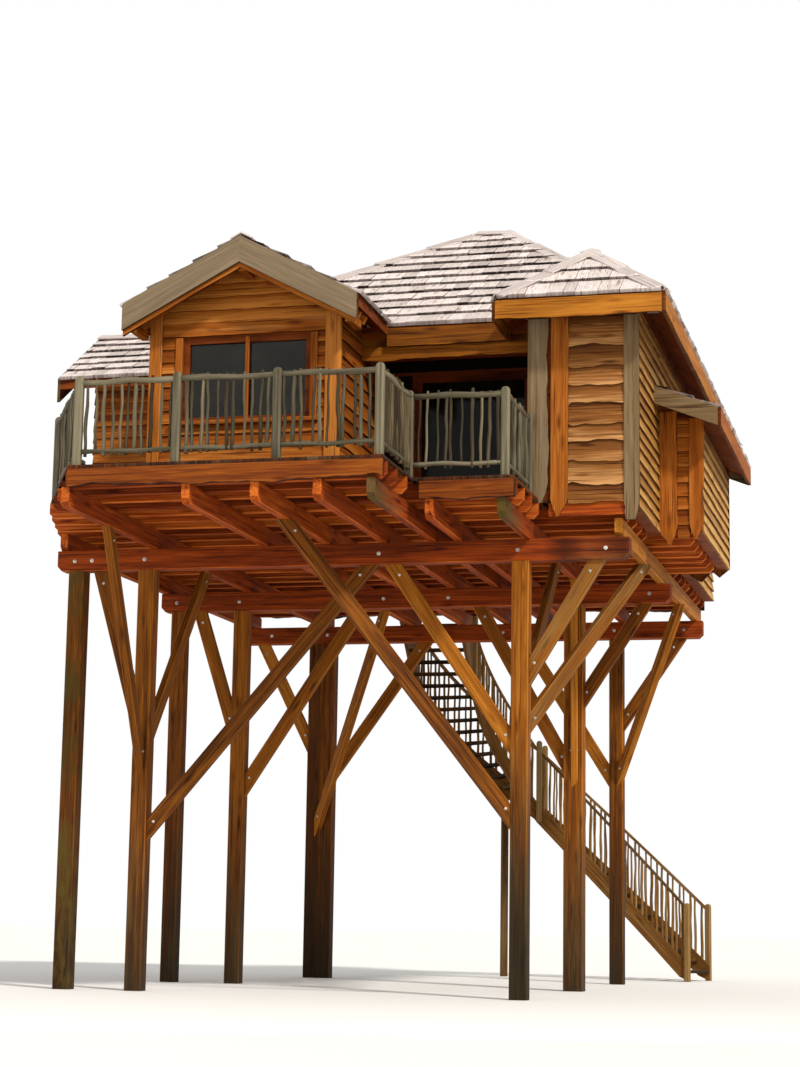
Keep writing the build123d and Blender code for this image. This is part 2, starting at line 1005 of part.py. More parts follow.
def tread_turn(index):
    """How many degrees the stair turns on one tread, counted from the foot."""
    if index < lower_treads:
        return lower_turn
    if index < lower_treads + winder_treads:
        return winder_turn
    return 0


# The joints between the facets, as X, Y and the direction of the tread's edge, from the deck down
stair_joints = [(stair_head_x, deck_back, 180)]
for index in reversed(range(tread_count)):
    x, y, angle = stair_joints[0]
    heading = radians(angle - tread_turn(index) / 2)
    below = (x + stair_going * sin(heading), y - stair_going * cos(heading), angle - tread_turn(index))
    stair_joints.insert(0, below)


def stair_angle(place):
    """The direction across the stair at a place counted in treads from the foot."""
    index = min(int(place), tread_count - 1)
    return stair_joints[index][2] + tread_turn(index) * (place - index)


def stair_spot(place, offset):
    """The plan point at a place, set off from the centre line away from the turn's middle."""
    index = min(int(place), tread_count - 1)
    ends = []
    for x, y, angle in stair_joints[index : index + 2]:
        ends.append((x + offset * cos(radians(angle)), y + offset * sin(radians(angle))))
    (x0, y0), (x1, y1) = ends
    share = place - index
    return (x0 + (x1 - x0) * share, y0 + (y1 - y0) * share)


def tread_level(index):
    """The top of the tread that starts at a facet joint."""
    return riser * (index + 1)


def cross_section(joint, offset, width, low, high):
    """An upright rectangle across the stair at a facet joint."""
    x, y = stair_spot(joint, offset)
    angle = radians(stair_angle(joint))
    plane = Plane(
        origin=(x, y, low), x_dir=(cos(angle), sin(angle), 0),
        z_dir=(sin(angle), -cos(angle), 0),
    )
    with BuildSketch(plane) as outline:
        Rectangle(width, high - low, align=(Align.MIN, Align.MIN))
    return outline.sketch


def flight_bar(offset, width, first, last, bottom, top):
    """A bar that climbs with the stair between two facet joints."""
    sections = []
    for joint in range(first, last + 1):
        low = max(0, tread_level(joint) + bottom)
        sections.append(cross_section(joint, offset, width, low, tread_level(joint) + top))
    loft(sections, ruled=True)


inner_stringer_offset = -half_stair - stringer_width
outer_stringer_offset = half_stair
stringer_bottom = stringer_rise - stringer_depth
with BuildPart() as inner_stringer:
    flight_bar(inner_stringer_offset, stringer_width, 0, tread_count, stringer_bottom, stringer_rise)

with BuildPart() as outer_stringer:
    flight_bar(outer_stringer_offset, stringer_width, 0, tread_count, stringer_bottom, stringer_rise)

with BuildPart() as stringers:
    add(inner_stringer.part)
    add(outer_stringer.part)
save(stringers, "stair_stringers")

with BuildPart() as treads:
    for index in range(tread_count):
        outline = [
            stair_spot(index, -half_stair),
            stair_spot(index, half_stair),
            stair_spot(index + 1, half_stair),
            stair_spot(index + 1, -half_stair),
        ]
        prism_up(outline, tread_level(index) - tread_thickness, tread_level(index))
save(treads, "stair_treads")


def stair_post(place, offset, side, low, high, mode=Mode.ADD):
    """An upright post turned square to the stair."""
    with BuildSketch(Plane.XY.offset(low)) as outline:
        with Locations(stair_spot(place, offset)):
            Rectangle(side, side, rotation=stair_angle(place))
    return extrude(outline.sketch, amount=high - low, mode=mode)


# Newels stand at the foot, at both ends of the winders and at the head, notched over the stringers
newel_offset = half_stair + post_setback + newel_side / 2
newel_joints = [0, lower_treads, lower_treads + winder_treads, tread_count]
half_newel = newel_side / 2 / stair_going
foot_newel_place = (newel_side / 2 - foot_newel_lap) / stair_going
with BuildPart() as newels:
    for offset in (-newel_offset, newel_offset):
        for joint in newel_joints:
            place = foot_newel_place if joint == 0 else joint - half_newel
            low = 0 if joint == 0 else tread_level(joint) + stringer_bottom
            stair_post(place, offset, newel_side, low, tread_level(joint) + newel_height)
    add(stringers.part, mode=Mode.SUBTRACT)
save(newels, "stair_newels")

hand_rail_set = (stringer_width - hand_rail_width) / 2
with BuildPart() as stair_railings:
    sticks = []
    for stringer_offset in (inner_stringer_offset, outer_stringer_offset):
        for first, last in zip(newel_joints, newel_joints[1:]):
            flight_bar(
                stringer_offset + hand_rail_set,
                hand_rail_width,
                first,
                last,
                hand_rail_above - hand_rail_height,
                hand_rail_above,
            )
        for index in range(tread_count):
            for share in (0.3, 0.7):
                level = tread_level(index + share)
                if min(abs(index + share - joint) for joint in newel_joints) < 2 * half_newel:
                    continue
                stick = stair_post(
                    index + share,
                    stringer_offset + stringer_width / 2,
                    stair_stick,
                    level + stringer_rise / 2,
                    level + hand_rail_above - hand_rail_height / 2,
                    mode=Mode.PRIVATE,
                )
                sticks.append(stick)
    add(sticks)
    add(stringers.part, mode=Mode.SUBTRACT)
    add(newels.part, mode=Mode.SUBTRACT)
save(stair_railings, "stair_railings")

# Posts under the turn of the stair
stair_post_offset = half_stair + post_setback + stair_post_side / 2
with BuildPart() as stair_posts:
    level = tread_level(stair_post_place) + stringer_rise - stringer_depth / 2
    for offset in (-stair_post_offset, stair_post_offset):
        stair_post(stair_post_place, offset, stair_post_side, 0, level)
    add(stringers.part, mode=Mode.SUBTRACT)
save(stair_posts, "stair_posts")
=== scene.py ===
import random
from math import atan2, ceil, cos, hypot, pi, radians, sin

import bpy
from mathutils import Matrix, Vector


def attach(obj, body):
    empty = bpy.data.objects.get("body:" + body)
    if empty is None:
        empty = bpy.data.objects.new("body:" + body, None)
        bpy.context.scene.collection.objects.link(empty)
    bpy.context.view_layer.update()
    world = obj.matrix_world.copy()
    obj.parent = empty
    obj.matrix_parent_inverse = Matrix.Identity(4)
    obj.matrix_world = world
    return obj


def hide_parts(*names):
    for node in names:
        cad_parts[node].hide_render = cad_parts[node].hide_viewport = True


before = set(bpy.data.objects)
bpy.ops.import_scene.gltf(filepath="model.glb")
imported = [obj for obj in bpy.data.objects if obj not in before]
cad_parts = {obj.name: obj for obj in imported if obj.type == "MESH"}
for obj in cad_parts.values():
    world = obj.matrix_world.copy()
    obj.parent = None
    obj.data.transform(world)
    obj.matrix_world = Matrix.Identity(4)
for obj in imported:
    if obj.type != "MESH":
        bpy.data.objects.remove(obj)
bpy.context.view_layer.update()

# Metres. Shapes are drawn with X = 0 midway between the two main post columns, and then moved by
# half that distance, because the frame's origin is the foot of the front right post.
column = 2.37
move = Vector((-column, 0, 0))

# Posts and beams
row_y = (0.0, 3.8, 7.6)
outrigger_x = -3.3
post_side = 0.21
big_post_side = 0.26
beam_low = 5.15
beam_high = 5.41
beam_middle = (beam_low + beam_high) / 2
beam_width = 0.20
beam_left = -3.56
beam_right = 3.68
beam_bolt_x = (-3.1, -0.3, 0.62, 3.4)
girder_high = 5.64
girder_width = 0.10
girder_x = (-3.5, -2.28, -0.85, -0.05, 0.67, 1.28, 1.61, 2.45, 3.55)
girder_front = (-0.06, -2.99, -2.99, -2.99, -2.99, -2.99, -1.64, -1.64, -0.06)
girder_back = 8.05
mossy_girders = (5, 7)
joist_high = 5.84
joist_width = 0.07
joist_count = 25
joist_first_y = -2.85
joist_pitch = 0.45
floor_top = 5.88
rim_width = 0.08
end_chamfer = 0.06
brace_depth = 0.18
brace_width = 0.09

# Deck outline
front_rim_y = -3.0
step_rim_y = -1.65
bay_rim_y = -0.12
step_x = 1.42
bay_x = 2.6
deck_right = 3.65
bump_deck_right = 4.2
deck_back = 8.1
deck_left = -4.1
left_edge = (
    (front_rim_y, -2.25), (-1.0, -3.3), (0.5, -3.8), (1.6, deck_left), (deck_back + 0.001, deck_left),
)

# Walls
side_wall = 0.13
bay_front_y = -0.12
side_wall_x = 3.78
bump_front_y = 1.75
bump_back_y = 4.9
bump_wall_x = 4.33
gable_front_y = -0.6
gable_left_x = -2.13
gable_right_x = 0.2
gable_middle = (gable_left_x + gable_right_x) / 2
porch_back_y = 1.6
rear_wall_y = 7.05
rear_bay_y = 7.95
wing_front_y = 2.0
wing_back_y = 4.0
wing_left_x = -3.98
wall_low = floor_top - 0.12
grey_board_right = 2.71
panel_left = 2.955
panel_right = 3.63
bay_board_top = 8.10
porch_side_top = 8.13
wing_side_top = 8.15
left_side_top = 8.18
rear_wall_top = 8.22
eave_wall_top = 8.25
left_corner_top = 8.30
right_corner_top = 8.20
porch_wall_top = 8.75
porch_beam_z = 7.98
porch_beam_width = 0.12
wing_end_top = 8.82

# Windows and doors
sill = floor_top + 1.0
head = floor_top + 2.07
window_half = 0.82
window_left = gable_middle - window_half
window_right = gable_middle + window_half
door_half = 0.75
door_head = floor_top + 2.0
rear_door_x = -1.3
rear_window_x = 0.9
rear_opening_half = 0.45
margin = 0.06

# Roofs
roof_plumb = 0.15
eave_top = 8.27
ridge_top = 10.5
main_left = -2.6
main_right = 4.15
main_front = 0.4
main_back = 7.4
ridge_left = 0.95
ridge_right = 1.4
ridge_y = (main_front + main_back) / 2
bay_left = 2.15
bay_front = -0.6
bay_back = 8.4
bay_run = (main_right - bay_left) / 2
bay_ridge_x = bay_left + bay_run
front_pitch = (ridge_top - eave_top) / (ridge_y - main_front)
left_pitch = (ridge_top - eave_top) / (ridge_left - main_left)
right_pitch = (ridge_top - eave_top) / (main_right - ridge_right)
bay_ridge_top = eave_top + right_pitch * bay_run
gable_x = -0.93
gable_half = 1.49
gable_rise = 0.79
gable_pitch = gable_rise / gable_half
gable_verge = -1.08
gable_top = 9.08
wing_y = 3.0
wing_top = 9.0
wing_pitch = 0.65
wing_half = 1.4
wing_verge = -4.35
bump_low = 7.24
bump_high = 7.56
bump_eave = 4.6
bump_roof_front = 1.25
bump_roof_back = 5.15
fascia_high = eave_top - 0.05
fascia_height = 0.23
fascia_width = 0.05
barge_depth = 0.33
barge_thick = 0.04

# Shingles and caps
shingle_thick = 0.046
shingle_thin = 0.004
shingle_widths = (0.13, 0.30)
shingle_gap = 0.003
shingle_row = 0.34
wing_row = 0.26
row_lap = 1.25
first_row_drop = 0.04
covered_by = 0.12
eave_overhang = 0.05
cap_width = 0.16
cap_length = 0.9
cap_thick = 0.02

# Railings
rail_top = floor_top + 1.0
rail_low = floor_top + 0.17
rail_inset = 0.07
rail_post = 0.10
branch_pitch = 0.1
palisade_pitch = 0.066

# Stair: a lower flight, a quarter turn of winders and a straight flight to the deck's back edge
stair_head_x = -0.69
stair_width = 0.9
stair_going = 0.178
riser_count = 34
tread_count = riser_count - 1
riser = floor_top / riser_count
upper_treads = 6
winder_treads = 12
lower_treads = tread_count - upper_treads - winder_treads
winder_turn = 7.06
lower_turn = 1.23
half_stair = stair_width / 2
stringer_width = 0.05
stringer_depth = 0.33
stringer_rise = 0.06
tread_thickness = 0.045
hand_rail_above = 0.95
hand_rail_width = 0.036
hand_rail_depth = 0.06
newel_side = 0.09
newel_height = 1.05
post_setback = 0.004
stair_post_side = 0.11
stair_post_place = 17.6

# Bevelled edges of timbers carry a painted highlight and the sides of boards painted shade
painted_edge_highlight = 0.45
painted_side_shade = 0.8

# Boards: the step along a waney edge, how far waney boards lap, the least width, and a full turn of a wave
waney_step = 0.05
waney_lap = 2.2
least_board = 0.05
wave_turn = 6.28

# The photo's camera, from the photo's verticals and its rows of posts
photo_width_px = 800
focal_px = 2240.0
sensor_width = 36.0
camera_place = (7.459, -26.087, 0.902)
camera_pitch = radians(9.77)
camera_yaw = radians(14.2)
camera_roll = 0.0156

rng = random.Random(11)
black = (0, 0, 0, 1)
white = (1, 1, 1, 1)


def linear(red, green, blue):
    """A screen colour of 0 to 255 as the shader's linear colour."""
    shares = [value / 255 for value in (red, green, blue)]
    dark_end = 10 / 255
    return (*(x / 12.92 if x <= dark_end else ((x + 0.055) / 1.055) ** 2.4 for x in shares), 1.0)


# Materials
class Nodes:
    """Makes the nodes of one node tree and joins them."""

    def __init__(self, tree):
        self.tree = tree

    def feed(self, node, inputs):
        """Sets each input to a plain value, or joins it to the output that feeds it."""
        for name, value in inputs.items():
            if isinstance(value, bpy.types.NodeSocket):
                self.tree.links.new(value, node.inputs[name])
            else:
                node.inputs[name].default_value = value

    def node(self, kind, result, inputs=None, **settings):
        """One output of a new node."""
        node = self.tree.nodes.new("ShaderNode" + kind)
        for name, value in settings.items():
            setattr(node, name, value)
        self.feed(node, inputs or {})
        return node.outputs[result]

    def math(self, operation, first, second):
        return self.node("Math", "Value", {0: first, 1: second}, operation=operation)

    def mix(self, blend, factor, under, over):
        inputs = {"Factor": factor, "A": under, "B": over}
        return self.node("Mix", "Result", inputs, data_type="RGBA", blend_type=blend)

    def ramp(self, factor, *stops):
        """A colour ramp through (place, colour) stops."""
        node = self.tree.nodes.new("ShaderNodeValToRGB")
        elements = node.color_ramp.elements
        while len(elements) < len(stops):
            elements.new(0.5)
        for element, (place, colour) in zip(elements, stops):
            element.position = place
            element.color = colour
        self.feed(node, {"Fac": factor})
        return node.outputs["Color"]


def new_material(name):
    material = bpy.data.materials.new(name)
    material.use_nodes = True
    return material, Nodes(material.node_tree), material.node_tree.nodes["Principled BSDF"]


def wood(name, palette, along=1.1, across=16.0, rough=0.72, own_space=False):
    """Wood whose grain runs along each timber's own length, greyed and mossed by its attributes.

    The palette is four browns from the deepest grain to the lightest, and two greys of weathered wood.
    """
    deep, dark, middle, light, grey_dark, grey_light = [linear(*colour) for colour in palette]
    material, nodes, shader = new_material(name)
    if own_space:
        place = nodes.node("TexCoord", "Object")
    else:
        place = nodes.node("Attribute", "Vector", attribute_name="grain")
    labels = ("tone", "grey", "moss")
    tone, grey, moss = [nodes.node("Attribute", "Fac", attribute_name=label) for label in labels]

    def stretched(run, cross, detail, distortion, roughness):
        """Noise with its own scale along the grain and across it."""
        spot = nodes.node("Mapping", "Vector", {"Scale": (run, cross, cross), "Vector": place})
        shape = {"Scale": 1.0, "Detail": detail, "Distortion": distortion, "Roughness": roughness}
        return nodes.node("TexNoise", "Fac", {**shape, "Vector": spot})

    def weighed(value, weight):
        return nodes.math("MULTIPLY", value, weight)

    def patches(level, noise, strength, low, high):
        """White where an attribute and a noise together are high."""
        raised = nodes.math("ADD", level, weighed(nodes.math("SUBTRACT", noise, 0.5), strength))
        return nodes.ramp(raised, (low, black), (high, white))

    fine = stretched(along * 2.2, across * 3.0, 5.0, 0.2, 0.6)
    broad = stretched(along * 0.5, across * 0.45, 3.0, 1.4, 0.5)
    rings = stretched(along * 0.35, across * 1.4, 4.0, 2.2, 0.55)
    checks = stretched(along * 0.8, across * 3.4, 2.0, 0.4, 0.5)
    spots = stretched(2.2, 7.0, 4.0, 0.4, 0.6)
    coarse = nodes.math("ADD", weighed(broad, 0.35), weighed(rings, 0.35))
    mixed = nodes.math("ADD", weighed(fine, 0.3), coarse)
    toned = nodes.math("ADD", mixed, weighed(tone, 0.26))
    brown = nodes.ramp(toned, (0.08, deep), (0.34, dark), (0.52, middle), (0.74, light))

    # Dark drying checks along the grain, then knots
    check_shade = nodes.ramp(checks, (0.31, (0.26, 0.18, 0.12, 1)), (0.42, white))
    checked = nodes.mix("MULTIPLY", 0.9, brown, check_shade)
    knot_spot = nodes.node("Mapping", "Vector", {"Scale": (1.6, 7.0, 7.0), "Vector": place})
    knots = nodes.node("TexVoronoi", "Distance", {"Scale": 1.0, "Vector": knot_spot})
    knot_dark = (0.16, 0.09, 0.05, 1)
    knot_rim = (0.55, 0.42, 0.32, 1)
    knot_shade = nodes.ramp(knots, (0.06, knot_dark), (0.13, knot_rim), (0.24, white))
    knotted = nodes.mix("MULTIPLY", 0.75, checked, knot_shade)

    greys = nodes.ramp(toned, (0.08, deep), (0.34, grey_dark), (0.7, grey_light))
    aged = nodes.mix("MIX", patches(grey, broad, 0.9, 0.25, 0.75), knotted, greys)
    mossy = nodes.mix("MIX", patches(moss, spots, 1.4, 0.35, 0.65), aged, linear(76, 60, 20))
    relief = nodes.math("ADD", nodes.math("ADD", fine, rings), checks)
    bump = nodes.node("Bump", "Normal", {"Strength": 0.35, "Distance": 0.01, "Height": relief})
    nodes.feed(shader, {"Base Color": mossy, "Roughness": rough, "Specular IOR Level": 0.12, "Normal": bump})
    return material


timber_wood = wood(
    "timber", ((24, 12, 3), (84, 44, 8), (136, 78, 14), (184, 118, 38), (46, 36, 20), (106, 88, 54))
)
# Timber of the deck's underside, darker and redder: painted shade with a painted warm glow of light from the
# ground
painted_underside_wood = wood(
    "painted_underside_timber", ((24, 8, 1), (90, 33, 5), (148, 61, 11), (206, 112, 38), (48, 34, 16), (104, 80, 48))
)
clad_wood = wood(
    "cladding_wood", ((34, 14, 3), (102, 46, 9), (146, 78, 17), (188, 118, 48), (92, 76, 48), (158, 132, 92))
)
side_wood = wood(
    "side_board_wood",
    ((38, 19, 6), (110, 68, 24), (154, 106, 46), (200, 156, 90), (100, 84, 56), (166, 144, 106)),
)
panel_wood = wood(
    "panel_wood", ((34, 17, 6), (94, 52, 20), (132, 82, 36), (196, 146, 92), (92, 76, 52), (158, 136, 104))
)
# Near-black wood of the porch wall, painted deep shade
painted_shade_porch_wood = wood(
    "painted_shade_porch_wood", ((4, 3, 3), (13, 10, 7), (24, 18, 12), (42, 32, 22), (18, 15, 12), (48, 42, 35))
)
deck_wood = wood(
    "deck_wood", ((24, 10, 3), (82, 38, 11), (124, 62, 21), (166, 98, 44), (72, 60, 42), (126, 112, 86))
)
grey_wood = wood(
    "branch_wood", ((22, 18, 12), (58, 48, 32), (94, 82, 60), (140, 126, 98), (62, 56, 43), (126, 118, 96))
)
stair_wood = wood(
    "stair_wood", ((26, 15, 5), (74, 46, 16), (110, 72, 28), (150, 110, 58), (76, 62, 38), (134, 116, 80))
)
weathered_wood = wood(
    "weathered_wood",
    ((38, 28, 17), (84, 65, 42), (118, 95, 64), (150, 127, 96), (88, 74, 54), (138, 120, 96)),
)
shingle_wood = wood(
    "shingle_wood",
    ((36, 28, 26), (168, 154, 150), (214, 202, 198), (240, 232, 230), (150, 138, 134), (222, 212, 208)),
    along=2.0, across=22.0, rough=0.85,
)
core_wood = wood(
    "core_wood", ((18, 7, 1), (72, 28, 5), (112, 50, 10), (146, 78, 24), (92, 78, 62), (148, 132, 110)),
    along=1.0, across=3.0, own_space=True,
)


def glass_material():
    """Glass with a near-black, cloudy base colour, painted shade of the unlit inside; a little clear and a
    little uneven.
    """
    material, nodes, shader = new_material("pane_glass")
    cloud = nodes.node("TexNoise", "Fac", {"Scale": 2.5})
    painted_interior_shade = nodes.ramp(cloud, (0.35, linear(9, 8, 6)), (0.7, linear(30, 30, 22)))
    waves = nodes.node("TexNoise", "Fac", {"Scale": 1.6})
    bump = nodes.node("Bump", "Normal", {"Strength": 0.02, "Height": waves})
    nodes.feed(shader, {"Base Color": painted_interior_shade, "Roughness": 0.08, "IOR": 1.3, "Specular IOR Level": 0.3})
    nodes.feed(shader, {"Alpha": 0.9, "Normal": bump})
    return material


def metal_material():
    material, nodes, shader = new_material("bolt_metal")
    noise = nodes.node("TexNoise", "Fac", {"Scale": 60.0})
    colour = nodes.ramp(noise, (0.3, linear(120, 112, 104)), (0.6, linear(206, 204, 198)))
    nodes.feed(shader, {"Base Color": colour, "Metallic": 0.35, "Roughness": 0.55})
    return material


pane_glass = glass_material()
bolt_metal = metal_material()


# Shapes
class Kit:
    """Collects the points and faces of one piece."""

    def __init__(self):
        self.points = []
        self.faces = []
        self.grain = []
        self.tone = []
        self.grey = []
        self.moss = []

    def add(self, points, faces, grain, tone=None, grey=0.0, moss=0.0):
        """One solid; its tone, grey and moss are single numbers or lists with a number for each point."""
        base = len(self.points)
        shift = Vector((rng.uniform(0, 40), rng.uniform(0, 40), rng.uniform(0, 40)))
        tone = rng.uniform(-0.5, 0.5) if tone is None else tone
        self.points.extend(points)
        self.faces.extend(tuple(index + base for index in face) for face in faces)
        self.grain.extend(Vector(place) + shift for place in grain)
        for kept, value in ((self.tone, tone), (self.grey, grey), (self.moss, moss)):
            kept.extend([value] * len(points) if isinstance(value, (int, float)) else value)


def make(kit, name, material, replaced=(), smooth=False):
    """Turns a kit into a piece that rides on the frame."""
    mesh = bpy.data.meshes.new(name)
    mesh.from_pydata([tuple(Vector(point) + move) for point in kit.points], [], kit.faces)
    grain = mesh.attributes.new("grain", "FLOAT_VECTOR", "POINT")
    grain.data.foreach_set("vector", [value for place in kit.grain for value in place])
    for label, values in (("tone", kit.tone), ("grey", kit.grey), ("moss", kit.moss)):
        mesh.attributes.new(label, "FLOAT", "POINT").data.foreach_set("value", values)
    mesh.materials.append(material)
    if smooth:
        mesh.polygons.foreach_set("use_smooth", [True] * len(mesh.polygons))
    mesh.update()
    piece = bpy.data.objects.new(name, mesh)
    bpy.context.scene.collection.objects.link(piece)
    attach(piece, "root")
    if replaced:
        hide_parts(*replaced)
    return piece


def value_at(value, point):
    """A number, or what a function says of the point."""
    return value(point) if callable(value) else value


def cut_reach(end, base, along, cut, plain):
    """How far along from base the plane of a cut end lies, or the plain reach of an uncut one."""
    if cut is None:
        return plain
    normal = Vector(cut)
    return (end - base).dot(normal) / along.dot(normal)


def bar_stops(length, thin, nose, dome, spans):
    """Where a bar's rings lie, as (share of its length, lift of its underside, scale)."""
    stops = [(0.0, nose, 1.0)]
    if nose:
        stops.append((nose / length, 0.0, 1.0))
    stops += [(span / spans, 0.0, 1.0) for span in range(1, spans)]
    if nose:
        stops.append((1 - nose / length, 0.0, 1.0))
    if dome:
        reach = thin * 0.5
        profile = ((1.0, 1.0), (0.55, 0.9), (0.2, 0.68), (0.0, 0.3))
        stops += [(1 - back * reach / length, 0.0, scale) for back, scale in profile]
    else:
        stops.append((1.0, nose, 1.0))
    return stops


def bar(kit, start, end, width, depth, side=(0, 0, 1), start_cut=None, end_cut=None, bevel=0.009, nose=0.0,
        dome=False, tone=None, grey=0.0, moss=0.0, spans=1):
    """A bevelled timber. side is the way its depth points; a cut is the direction a cut end's plane faces."""
    start = Vector(start)
    end = Vector(end)
    length = (end - start).length
    along = (end - start).normalized()
    up = Vector(side)
    up = (up - along * up.dot(along)).normalized()
    across = along.cross(up)
    wide = width / 2
    tall = depth / 2
    corners = [
        (wide - bevel, -tall), (wide, -tall + bevel), (wide, tall - bevel), (wide - bevel, tall),
        (-wide + bevel, tall), (-wide, tall - bevel), (-wide, -tall + bevel), (-wide + bevel, -tall),
    ]
    # Every side of the ring has its own two corners, so a bevelled edge can carry a painted highlight
    ring = []
    for corner in range(8):
        edge_highlight = painted_edge_highlight if corner % 2 == 0 else 0.0
        ring += [(*corners[corner], edge_highlight), (*corners[(corner + 1) % 8], edge_highlight)]
    stops = bar_stops(length, min(width, depth), nose, dome, spans)
    tone = rng.uniform(-0.5, 0.5) if tone is None else tone
    points = []
    grain = []
    tones = []
    for place, lift, scale in stops:
        for sideways, level, edge_highlight in ring:
            raised = level + lift if level < 0 else level
            base = start + across * sideways * scale + up * raised * scale
            near = cut_reach(start, base, along, start_cut, 0.0)
            far = cut_reach(end, base, along, end_cut, length)
            reach = near + (far - near) * place
            spot = base + along * reach
            points.append(spot)
            grain.append((reach, sideways, raised))
            tones.append(value_at(tone, spot) + edge_highlight)
    greys = [value_at(grey, spot) for spot in points]
    mosses = [value_at(moss, spot) for spot in points]
    columns = len(ring)
    faces = []
    for station in range(len(stops) - 1):
        for corner in range(0, columns, 2):
            here = station * columns + corner
            faces.append((here, here + 1, here + columns + 1, here + columns))
    faces.append(tuple(range(columns - 2, -1, -2)))
    faces.append(tuple((len(stops) - 1) * columns + corner for corner in range(0, columns, 2)))
    kit.add(points, faces, grain, tones, greys, mosses)


def upright(kit, x, y, low, high, width, depth, side=(0, 1, 0), **options):
    """A bevelled timber that stands plumb."""
    bar(kit, (x, y, low), (x, y, high), width, depth, side, **options)


def ring_faces(rings, sides):
    """The faces between rings of points."""
    faces = []
    for base in range(0, (rings - 1) * sides, sides):
        for corner in range(sides):
            beside = (corner + 1) % sides
            faces.append((base + corner, base + beside, base + sides + beside, base + sides + corner))
    return faces


def stick(kit, start, end, radius, sides, stations, bend, grey, tone=None, taper=0.85):
    """A crooked branch between two points."""
    start = Vector(start)
    end = Vector(end)
    along = (end - start).normalized()
    helper = Vector((1, 0, 0)) if abs(along.x) < 0.8 else Vector((0, 1, 0))
    across = along.cross(helper).normalized()
    other = along.cross(across)
    phases = (rng.uniform(0, wave_turn), rng.uniform(0, wave_turn))
    turns = (rng.uniform(0.7, 1.6), rng.uniform(0.7, 1.6))
    points = []
    grain = []
    for station in range(stations):
        share = station / (stations - 1)
        reach = bend * sin(pi * share)
        sway = [reach * sin(turn * wave_turn * share + phase) for turn, phase in zip(turns, phases)]
        centre = start.lerp(end, share) + (across * sway[0] + other * sway[1])
        local = radius * (1 - (1 - taper) * share) * rng.uniform(0.88, 1.12)
        for corner in range(sides):
            angle = 2 * pi * corner / sides
            uneven = local * rng.uniform(0.9, 1.1)
            points.append(centre + across * (uneven * cos(angle)) + other * (uneven * sin(angle)))
            grain.append(((end - start).length * share, local * cos(angle), local * sin(angle)))
    caps = [tuple(range(sides - 1, -1, -1)), tuple(range((stations - 1) * sides, stations * sides))]
    kit.add(points, ring_faces(stations, sides) + caps, grain, tone, grey)


def clip(polygon, across_x, across_y, limit):
    """The part of a flat polygon where across_x x + across_y y is at most limit."""
    kept = []
    for here, there in zip(polygon, polygon[1:] + polygon[:1]):
        past_here = across_x * here[0] + across_y * here[1] - limit
        past_there = across_x * there[0] + across_y * there[1] - limit
        if past_here <= 0:
            kept.append(here)
        if (past_here < 0 < past_there) or (past_there < 0 < past_here):
            share = past_here / (past_here - past_there)
            kept.append((here[0] + (there[0] - here[0]) * share, here[1] + (there[1] - here[1]) * share))
    return kept


def inside(polygon, region):
    """The part of a flat polygon inside a convex region, or nothing."""
    for here, there in zip(region, region[1:] + region[:1]):
        across_x = there[1] - here[1]
        across_y = here[0] - there[0]
        polygon = clip(polygon, across_x, across_y, across_x * here[0] + across_y * here[1])
        if len(polygon) < 3:
            return []
    return polygon


class Face:
    """A flat side of the building: an origin, two directions in it, and the way it faces."""

    def __init__(self, origin, right, up, out):
        self.origin = Vector(origin)
        self.right = Vector(right).normalized()
        self.up = Vector(up).normalized()
        self.out = Vector(out).normalized()

    def at(self, x, y, z=0.0):
        return self.origin + self.right * x + self.up * y + self.out * z


def front_face(y):
    return Face((0, y, 0), (1, 0, 0), (0, 0, 1), (0, -1, 0))


def back_face(y):
    return Face((0, y, 0), (-1, 0, 0), (0, 0, 1), (0, 1, 0))


def right_face(x):
    return Face((x, 0, 0), (0, 1, 0), (0, 0, 1), (1, 0, 0))


def left_face(x):
    return Face((x, 0, 0), (0, -1, 0), (0, 0, 1), (-1, 0, 0))


def level_face(z):
    return Face((0, 0, z), (1, 0, 0), (0, 1, 0), (0, 0, 1))


def rect(x0, x1, y0, y1):
    return [(x0, y0), (x1, y0), (x1, y1), (x0, y1)]


def waney_points(start, end, grain_x, grain_y, steps, wave, phases):
    """Points along a low edge that wavers like the edge of a log."""
    points = []
    for step in range(1, steps):
        share = step / steps
        x = start[0] + (end[0] - start[0]) * share
        y = start[1] + (end[1] - start[1]) * share
        run = x * grain_x + y * grain_y
        slow = sin(2.3 * run + phases[0]) + 0.9 * sin(5.9 * run + phases[1]) * sin(1.9 * run + phases[2])
        quick = 0.4 * sin(13.3 * run + phases[3]) + 0.22 * sin(31.0 * run + phases[0])
        sway = wave * (slow + quick)
        points.append((x - grain_y * sway, y + grain_x * sway))
    return points


